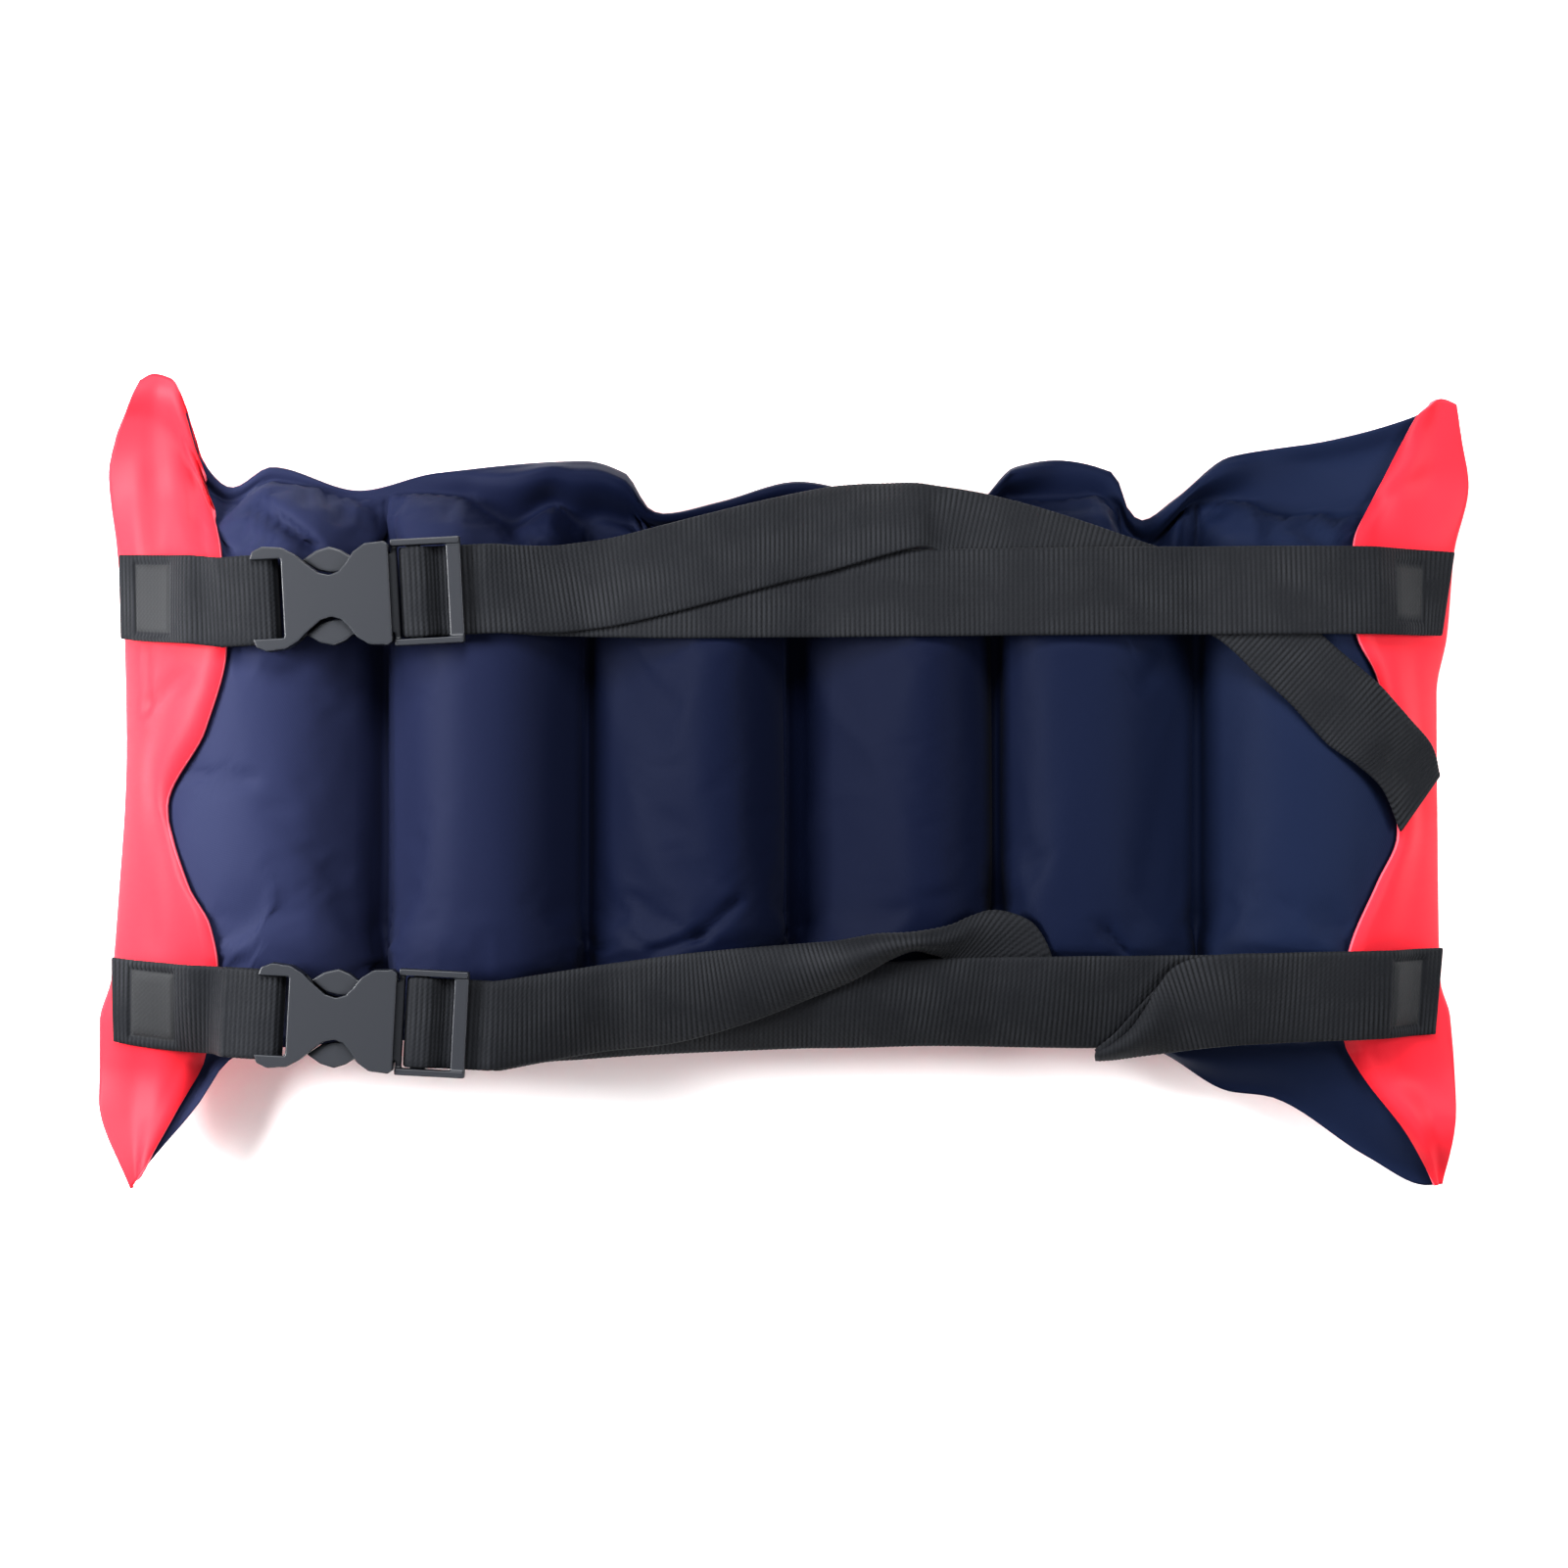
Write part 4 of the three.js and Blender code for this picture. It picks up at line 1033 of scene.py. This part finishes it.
def node_group(name, kind, inputs, outputs):
    """An empty node group of a kind with named inputs and outputs, and its two end nodes."""
    group = bpy.data.node_groups.new(name, kind)
    for way, sockets in (("INPUT", inputs), ("OUTPUT", outputs)):
        for label, socket_kind in sockets:
            group.interface.new_socket(label, in_out=way, socket_type=socket_kind)
    return group, group.nodes.new("NodeGroupInput"), group.nodes.new("NodeGroupOutput")


def rib_tree():
    """Geometry nodes that raise a strap's cross ribs from its distances along and shares of the ribs."""
    tree, source, target = node_group(
        "webbing_ribs", "GeometryNodeTree",
        (("Geometry", GEOMETRY), ("Rib Pitch", VALUE), ("Rib Height", VALUE), ("Material", MATERIAL)),
        (("Geometry", GEOMETRY),),
    )
    along = named_float(tree, "along")
    share = named_float(tree, "rib")
    wave = rib_wave(tree, along, source.outputs["Rib Pitch"])
    height = maths(tree, "MULTIPLY", maths(tree, "SUBTRACT", wave, 0.5), source.outputs["Rib Height"])
    scale = tree.nodes.new("ShaderNodeVectorMath")
    scale.operation = "SCALE"
    tree.links.new(tree.nodes.new("GeometryNodeInputNormal").outputs["Normal"], scale.inputs["Vector"])
    tree.links.new(maths(tree, "MULTIPLY", height, share), scale.inputs["Scale"])
    move = tree.nodes.new("GeometryNodeSetPosition")
    tree.links.new(source.outputs["Geometry"], move.inputs["Geometry"])
    tree.links.new(scale.outputs["Vector"], move.inputs["Offset"])
    realize = tree.nodes.new("GeometryNodeRealizeInstances")
    tree.links.new(move.outputs["Geometry"], realize.inputs["Geometry"])
    paint = tree.nodes.new("GeometryNodeSetMaterial")
    tree.links.new(realize.outputs["Geometry"], paint.inputs["Geometry"])
    tree.links.new(source.outputs["Material"], paint.inputs["Material"])
    tree.links.new(paint.outputs["Geometry"], target.inputs["Geometry"])
    return tree


def named_float(tree, name):
    """A float attribute of the mesh, by its name."""
    node = tree.nodes.new("GeometryNodeInputNamedAttribute")
    node.data_type = "FLOAT"
    node.inputs["Name"].default_value = name
    return node.outputs["Attribute"]


def maths(tree, operation, first, second=None):
    """A maths node of a node tree. Its inputs are sockets or numbers."""
    node = tree.nodes.new("ShaderNodeMath")
    node.operation = operation
    for socket, value in zip(node.inputs, (first, second)):
        if isinstance(value, bpy.types.NodeSocket):
            tree.links.new(value, socket)
        elif value is not None:
            socket.default_value = value
    return node.outputs["Value"]


def rib_wave(tree, along, pitch):
    """Round ribs, from 0 in the grooves to 1, over a distance along the webbing."""
    turns = maths(tree, "DIVIDE", along, pitch)
    return maths(tree, "ABSOLUTE", maths(tree, "SINE", maths(tree, "MULTIPLY", turns, math.pi)))


def add_nodes(piece, tree, **inputs):
    """Adds a geometry nodes modifier with its named inputs set."""
    modifier = piece.modifiers.new(tree.name, "NODES")
    modifier.node_group = tree
    for item in tree.interface.items_tree:
        key = item.name.lower().replace(" ", "_")
        if item.in_out == "INPUT" and key in inputs:
            modifier[item.identifier] = inputs[key]
    return modifier


def webbing_strap(name, stations, facing, tree, material):
    """A strap of ribbed webbing through its stations."""
    points, along, ribs, pressed = webbing_rings(name, stations, facing)
    rows, count = points.shape[:2]
    piece = mesh_piece(f"{name}_webbing", points.reshape(-1, 3), ring_faces(rows, count, facing))
    distances = np.repeat(along * MM, count)
    for label, values in (("along", distances), ("rib", ribs), ("pressed", pressed)):
        attribute = piece.data.attributes.new(label, "FLOAT", "POINT")
        attribute.data.foreach_set("value", np.ascontiguousarray(values, dtype=np.float32).ravel())
    across = np.array((*FACE_COLUMNS, *BACK_COLUMNS)) * sizes().webbing_width / 2
    add_uv(piece.data, "webbing", np.stack((np.tile(across, rows), distances), axis=1))
    smooth_shade(piece)
    add_nodes(piece, tree, rib_pitch=sizes().rib_pitch, rib_height=sizes().rib_height, material=material)
    bake_modifiers(piece)
    smooth_shade(piece)
    finish_piece(piece, name)
    return piece


def block_points(x_low, x_high, y_low, y_high, z_low, z_high):
    """Points and faces of a block."""
    points = [(x, y, z) for z in (z_low, z_high) for x, y in (
        (x_low, y_low), (x_high, y_low), (x_high, y_high), (x_low, y_high),
    )]
    faces = [(3, 2, 1, 0), (4, 5, 6, 7), (0, 1, 5, 4), (1, 2, 6, 5), (2, 3, 7, 6), (3, 0, 4, 7)]
    return points, faces


def plate_points(outline, low, high):
    """Points and faces of a plate with a plan outline that runs anticlockwise."""
    count = len(outline)
    points = [(x, y, z) for z in (low, high) for x, y in outline]
    sides = [(i, (i + 1) % count, count + (i + 1) % count, count + i) for i in range(count)]
    return points, [tuple(range(count))[::-1], tuple(range(count, 2 * count)), *sides]


def joined_mesh(solids):
    """Points and faces of several solids in one mesh."""
    points, faces = [], []
    for more_points, more_faces in solids:
        faces += [tuple(i + len(points) for i in face) for face in more_faces]
        points += more_points
    return points, faces


def on_side(outline, side):
    """An outline on one side of the buckle, which still runs anticlockwise."""
    placed = [(x, side * y) for x, y in outline]
    return placed if side > 0 else placed[::-1]


def socket_solid():
    outline = [*((x, -y) for x, y in SOCKET_OUTLINE[::-1]), *SOCKET_OUTLINE]
    return plate_points(outline, *SOCKET_HEIGHTS)


def clip_solids():
    prongs = [plate_points(on_side(PRONG_OUTLINE, side), *PRONG_HEIGHTS) for side in (1, -1)]
    return joined_mesh([*(block_points(*row) for row in CLIP_BLOCKS), *prongs])


def moulded_piece(end, node, solid, cuts):
    """A moulded half of a buckle: solids joined and cut, with rounded edges, set in its place."""
    piece = mesh_piece(f"{node}_moulded", *solid)
    cutters = []
    for row in cuts:
        cutter = mesh_piece(f"{node}_cut", *block_points(*row))
        difference = piece.modifiers.new("cut", "BOOLEAN")
        difference.operation = "DIFFERENCE"
        difference.solver = "EXACT"
        difference.object = cutter
        cutters.append(cutter)
    remesh = piece.modifiers.new("mould", "REMESH")
    remesh.mode = "VOXEL"
    remesh.voxel_size = sizes().mould_grain
    soften = piece.modifiers.new("soften", "SMOOTH")
    soften.factor = SOFTEN_FACTOR
    soften.iterations = SOFTEN_TIMES
    bake_modifiers(piece)
    for cutter in cutters:
        bpy.data.objects.remove(cutter)
    rotation, shift = buckle_matrix(end)
    place_points(piece.data, mesh_points(piece.data) @ rotation.T + shift * MM)
    smooth_shade(piece)
    finish_piece(piece, node)
    return piece


def weave_group():
    """Plain weave: height of crossing threads over a UV map in metres."""
    group, source, target = node_group(
        "plain_weave", "ShaderNodeTree",
        (("Vector", VECTOR), ("Threads per Metre", VALUE)),
        (("Height", VALUE),),
    )
    parts = group.nodes.new("ShaderNodeSeparateXYZ")
    group.links.new(source.outputs["Vector"], parts.inputs["Vector"])
    waves = []
    for axis in ("X", "Y"):
        turns = maths(group, "MULTIPLY", parts.outputs[axis], source.outputs["Threads per Metre"])
        waves.append(maths(group, "SINE", maths(group, "MULTIPLY", turns, math.pi)))
    height = maths(group, "MULTIPLY_ADD", maths(group, "MULTIPLY", *waves), 0.5)
    height.node.inputs[2].default_value = 0.5
    group.links.new(height, target.inputs["Height"])
    return group


def weave_group_once():
    return bpy.data.node_groups.get("plain_weave") or weave_group()


def drift_group():
    """Slow cloudy variation, from 0 to 1, over the object."""
    group, source, target = node_group(
        "cloudy_drift", "ShaderNodeTree",
        (("Vector", VECTOR), ("Scale", VALUE), ("Detail", VALUE)),
        (("Value", VALUE),),
    )
    noise = group.nodes.new("ShaderNodeTexNoise")
    for label in ("Vector", "Scale", "Detail"):
        group.links.new(source.outputs[label], noise.inputs[label])
    group.links.new(noise.outputs["Fac"], target.inputs["Value"])
    return group


def drift_group_once():
    return bpy.data.node_groups.get("cloudy_drift") or drift_group()


def rib_group():
    """Cross ribs of webbing: height, from 0 to 1, over a UV map in metres that runs along it."""
    group, source, target = node_group(
        "cross_ribs", "ShaderNodeTree",
        (("Vector", VECTOR), ("Pitch", VALUE)),
        (("Height", VALUE),),
    )
    parts = group.nodes.new("ShaderNodeSeparateXYZ")
    group.links.new(source.outputs["Vector"], parts.inputs["Vector"])
    wave = rib_wave(group, parts.outputs["Y"], source.outputs["Pitch"])
    group.links.new(wave, target.inputs["Height"])
    return group


def new_material(name, finish, colour=None):
    """A material, its nodes and its shader, with the finish's sockets and any one colour set."""
    material = bpy.data.materials.new(name)
    material.use_nodes = True
    shader = material.node_tree.nodes["Principled BSDF"]
    for label, value in finish.items():
        shader.inputs[label].default_value = value
    if colour is not None:
        shader.inputs["Base Color"].default_value = (*colour, 1)
    return material, material.node_tree, shader


def use_group(tree, group, vector, **values):
    """A shader group in a material, with its vector linked and its other inputs set."""
    node = tree.nodes.new("ShaderNodeGroup")
    node.node_tree = group
    tree.links.new(vector, node.inputs["Vector"])
    for label, value in values.items():
        node.inputs[label.replace("_", " ")].default_value = value
    return node


def uv_vector(tree, name):
    node = tree.nodes.new("ShaderNodeUVMap")
    node.uv_map = name
    return node.outputs["UV"]


def object_vector(tree):
    return tree.nodes.new("ShaderNodeTexCoord").outputs["Object"]


def mixed(tree, first, second, part):
    """A colour between two, by a socket's part."""
    node = tree.nodes.new("ShaderNodeMix")
    node.data_type = "RGBA"
    a, b = [socket for socket in node.inputs if socket.type == "RGBA"]
    for socket, colour in ((a, first), (b, second)):
        if isinstance(colour, bpy.types.NodeSocket):
            tree.links.new(colour, socket)
        else:
            socket.default_value = (*colour, 1)
    tree.links.new(part, node.inputs["Factor"])
    return [socket for socket in node.outputs if socket.type == "RGBA"][0]


def bumped(tree, shader, height, strength, distance):
    """Bumps a shader by a socket's height."""
    bump = tree.nodes.new("ShaderNodeBump")
    bump.inputs["Strength"].default_value = strength
    bump.inputs["Distance"].default_value = distance
    tree.links.new(height, bump.inputs["Height"])
    tree.links.new(bump.outputs["Normal"], shader.inputs["Normal"])


def woven(tree, shader):
    """Bumps a coated fabric's shader with its weave."""
    weave = use_group(tree, weave_group_once(), uv_vector(tree, "cloth"), Threads_per_Metre=FABRIC_WEAVE)
    bumped(tree, shader, weave.outputs["Height"], *FABRIC_BUMP)


def ranged(tree, value, low, high):
    """A value moved from a range to 0 to 1, held at both ends."""
    node = tree.nodes.new("ShaderNodeMapRange")
    node.inputs["From Min"].default_value = low
    node.inputs["From Max"].default_value = high
    tree.links.new(value, node.inputs["Value"])
    return node.outputs["Result"]


def navy_material():
    material, tree, shader = new_material("navy coated fabric", NAVY_FINISH)
    vector = object_vector(tree)
    parts = tree.nodes.new("ShaderNodeSeparateXYZ")
    tree.links.new(vector, parts.inputs["Vector"])
    # Painted shade darkens the navy in the middle of the belt and painted light lightens it towards the ends,
    # over a real drift from purplish to blue.
    middle_shade_part = ranged(tree, parts.outputs["X"], *MIDDLE_SHADE_RANGE)
    end = ranged(tree, parts.outputs["X"], *END_LIGHT_RANGE)
    middle = mixed(tree, colours().navy, colours().navy_middle_shade, middle_shade_part)
    colour = mixed(tree, middle, colours().navy_end_light, end)
    tree.links.new(colour, shader.inputs["Base Color"])
    woven(tree, shader)
    return material


def red_material():
    material, tree, shader = new_material("red coated fabric", RED_FINISH, colours().red)
    woven(tree, shader)
    return material


def edge_material():
    return new_material("cut fabric edge", EDGE_FINISH, colours().cut_edge)[0]


def webbing_material():
    material, tree, shader = new_material("black webbing", WEBBING_FINISH)
    along = uv_vector(tree, "webbing")
    weave = use_group(tree, weave_group_once(), along, Threads_per_Metre=WEBBING_WEAVE)
    ribs = use_group(tree, rib_group(), along, Pitch=sizes().rib_pitch)
    # Patches of scuffing and painted sheen: the mask shows the painted rib highlights in some stretches and
    # fades to the plainer webbing in others.
    wear_and_sheen = use_group(tree, drift_group_once(), object_vector(tree), Scale=WEAR_AND_SHEEN_SCALE, Detail=WEAR_AND_SHEEN_DETAIL)
    # Painted highlight and shade: the rib tops are lighter and the grooves darker, following the rib wave.
    ribbed = mixed(tree, colours().webbing, colours().rib_highlight, ribs.outputs["Height"])
    worn_and_sheened = mixed(tree, colours().webbing_plain, ribbed, ranged(tree, wear_and_sheen.outputs["Value"], *WEAR_AND_SHEEN_RANGE))
    pressed = tree.nodes.new("ShaderNodeAttribute")
    pressed.attribute_name = "pressed"
    colour = mixed(tree, worn_and_sheened, colours().pressed, pressed.outputs["Fac"])
    tree.links.new(colour, shader.inputs["Base Color"])
    bumped(tree, shader, weave.outputs["Height"], *WEBBING_BUMP)
    return material


def plastic_material():
    material, tree, shader = new_material("moulded buckle plastic", PLASTIC_FINISH, colours().plastic)
    grain = use_group(tree, drift_group_once(), object_vector(tree), Scale=GRAIN_SCALE, Detail=GRAIN_DETAIL)
    bumped(tree, shader, grain.outputs["Value"], *GRAIN_BUMP)
    return material


def stage_floor():
    corners = [(x * FLOOR_HALF, y * FLOOR_HALF, 0) for x, y in ((-1, -1), (1, -1), (1, 1), (-1, 1))]
    floor = mesh_piece("floor", corners, [(0, 1, 2, 3)])
    floor.data.materials.append(new_material("plain floor", FLOOR_FINISH, colours().floor)[0])


def stage_lights(scene):
    """Soft lights that face the belt, and a faint white world."""
    for name, place, size, power in STAGE_LIGHTS:
        light = bpy.data.lights.new(name, "AREA")
        light.energy = power
        light.size = size
        lamp = bpy.data.objects.new(name, light)
        lamp.location = place
        lamp.rotation_euler = Vector(place).to_track_quat("Z", "Y").to_euler()
        lamp.visible_camera = False
        scene.collection.objects.link(lamp)
    world = bpy.data.worlds.new("studio")
    world.use_nodes = True
    world.node_tree.nodes["Background"].inputs["Color"].default_value = (1, 1, 1, 1)
    world.node_tree.nodes["Background"].inputs["Strength"].default_value = WORLD_STRENGTH
    scene.world = world


def stage_camera(scene):
    """A camera straight above the belt, and the picture's contrast."""
    camera = bpy.data.cameras.new("camera")
    camera.lens = CAMERA_LENS
    camera.sensor_width = CAMERA_SENSOR
    view = bpy.data.objects.new("camera", camera)
    view.location = (0, 0, CAMERA_HEIGHT)
    scene.collection.objects.link(view)
    scene.camera = view
    scene.view_settings.view_transform = "Standard"
    scene.view_settings.look = "High Contrast"


class SWIMBELT_OT_panels(bpy.types.Operator):
    """Build the two coated-fabric walls of the air tubes"""

    bl_idname = "swimbelt.panels"
    bl_label = "Fabric walls"

    def execute(self, context):
        navy, red, edge = navy_material(), red_material(), edge_material()
        walls = (
            ("inner_panel", inner_grid(), False, INNER_FIRM, "navy_fabric", (navy, navy), INNER_CUT),
            ("outer_panel", outer_grid(), True, OUTER_FIRM, "red_fabric", (red, edge), OUTER_CUT),
        )
        for node, grid, turned, firm, slot, materials, (flat, area) in walls:
            piece = fabric_wall(f"{node}_cloth", wrinkled(grid, turned, firm), turned)
            for material in materials:
                piece.data.materials.append(material)
            bake_modifiers(piece)
            rest_on_floor(piece)
            smooth_shade(piece)
            finish_piece(piece, node)
        return {"FINISHED"}


class SWIMBELT_OT_straps(bpy.types.Operator):
    """Build the webbing straps and their heat-pressed ends"""

    bl_idname = "swimbelt.straps"
    bl_label = "Webbing straps"

    def execute(self, context):
        tree, material = rib_tree(), webbing_material()
        for end in BUCKLES:
            anchor = np.concatenate((lying_stations(ANCHOR_RUNS[end]), loop_stations(end, SOCKET_LOOP)))
            webbing_strap(f"{end}_anchor_strap", anchor, 1, tree, material)
            waist = np.concatenate((
                lying_stations(WAIST_RUNS[end]), loop_stations(end, CLIP_LOOP), lying_stations(TAILS[end]),
            ))
            webbing_strap(f"{end}_waist_strap", waist, -1, tree, material)
        return {"FINISHED"}


class SWIMBELT_OT_buckles(bpy.types.Operator):
    """Build the sockets and clips of the side-release buckles"""

    bl_idname = "swimbelt.buckles"
    bl_label = "Buckles"

    def execute(self, context):
        plastic = plastic_material()
        for end in BUCKLES:
            socket = moulded_piece(end, f"{end}_buckle_socket", socket_solid(), SOCKET_CUTS)
            socket.data.materials.append(plastic)
            clip = moulded_piece(end, f"{end}_buckle_clip", clip_solids(), ())
            clip.data.materials.append(plastic)
        return {"FINISHED"}


class SWIMBELT_OT_stage(bpy.types.Operator):
    """Set the plain floor, the soft lights and the camera"""

    bl_idname = "swimbelt.stage"
    bl_label = "Stage"

    def execute(self, context):
        stage_floor()
        stage_lights(context.scene)
        stage_camera(context.scene)
        return {"FINISHED"}


class SWIMBELT_PT_sidebar(bpy.types.Panel):
    """Sizes, colours and build steps of the swim belt"""

    bl_idname = "SWIMBELT_PT_sidebar"
    bl_label = "Swim Belt"
    bl_space_type = "VIEW_3D"
    bl_region_type = "UI"
    bl_category = "Swim Belt"

    def draw(self, context):
        for group in (context.scene.swim_belt_sizes, context.scene.swim_belt_colours):
            for name in group.__annotations__:
                self.layout.prop(group, name)
        for operator in OPERATORS:
            self.layout.operator(operator.bl_idname)


OPERATORS = (SWIMBELT_OT_panels, SWIMBELT_OT_straps, SWIMBELT_OT_buckles, SWIMBELT_OT_stage)
CLASSES = (SwimBeltSizes, SwimBeltColours, *OPERATORS, SWIMBELT_PT_sidebar)


def register():
    for cls in CLASSES:
        bpy.utils.register_class(cls)
    bpy.types.Scene.swim_belt_sizes = PointerProperty(type=SwimBeltSizes)
    bpy.types.Scene.swim_belt_colours = PointerProperty(type=SwimBeltColours)


def unregister():
    del bpy.types.Scene.swim_belt_colours
    del bpy.types.Scene.swim_belt_sizes
    for cls in reversed(CLASSES):
        bpy.utils.unregister_class(cls)


def main():
    register()
    bpy.ops.swimbelt.panels()
    bpy.ops.swimbelt.straps()
    bpy.ops.swimbelt.buckles()
    bpy.ops.swimbelt.stage()


if __name__ == "__main__":
    main()
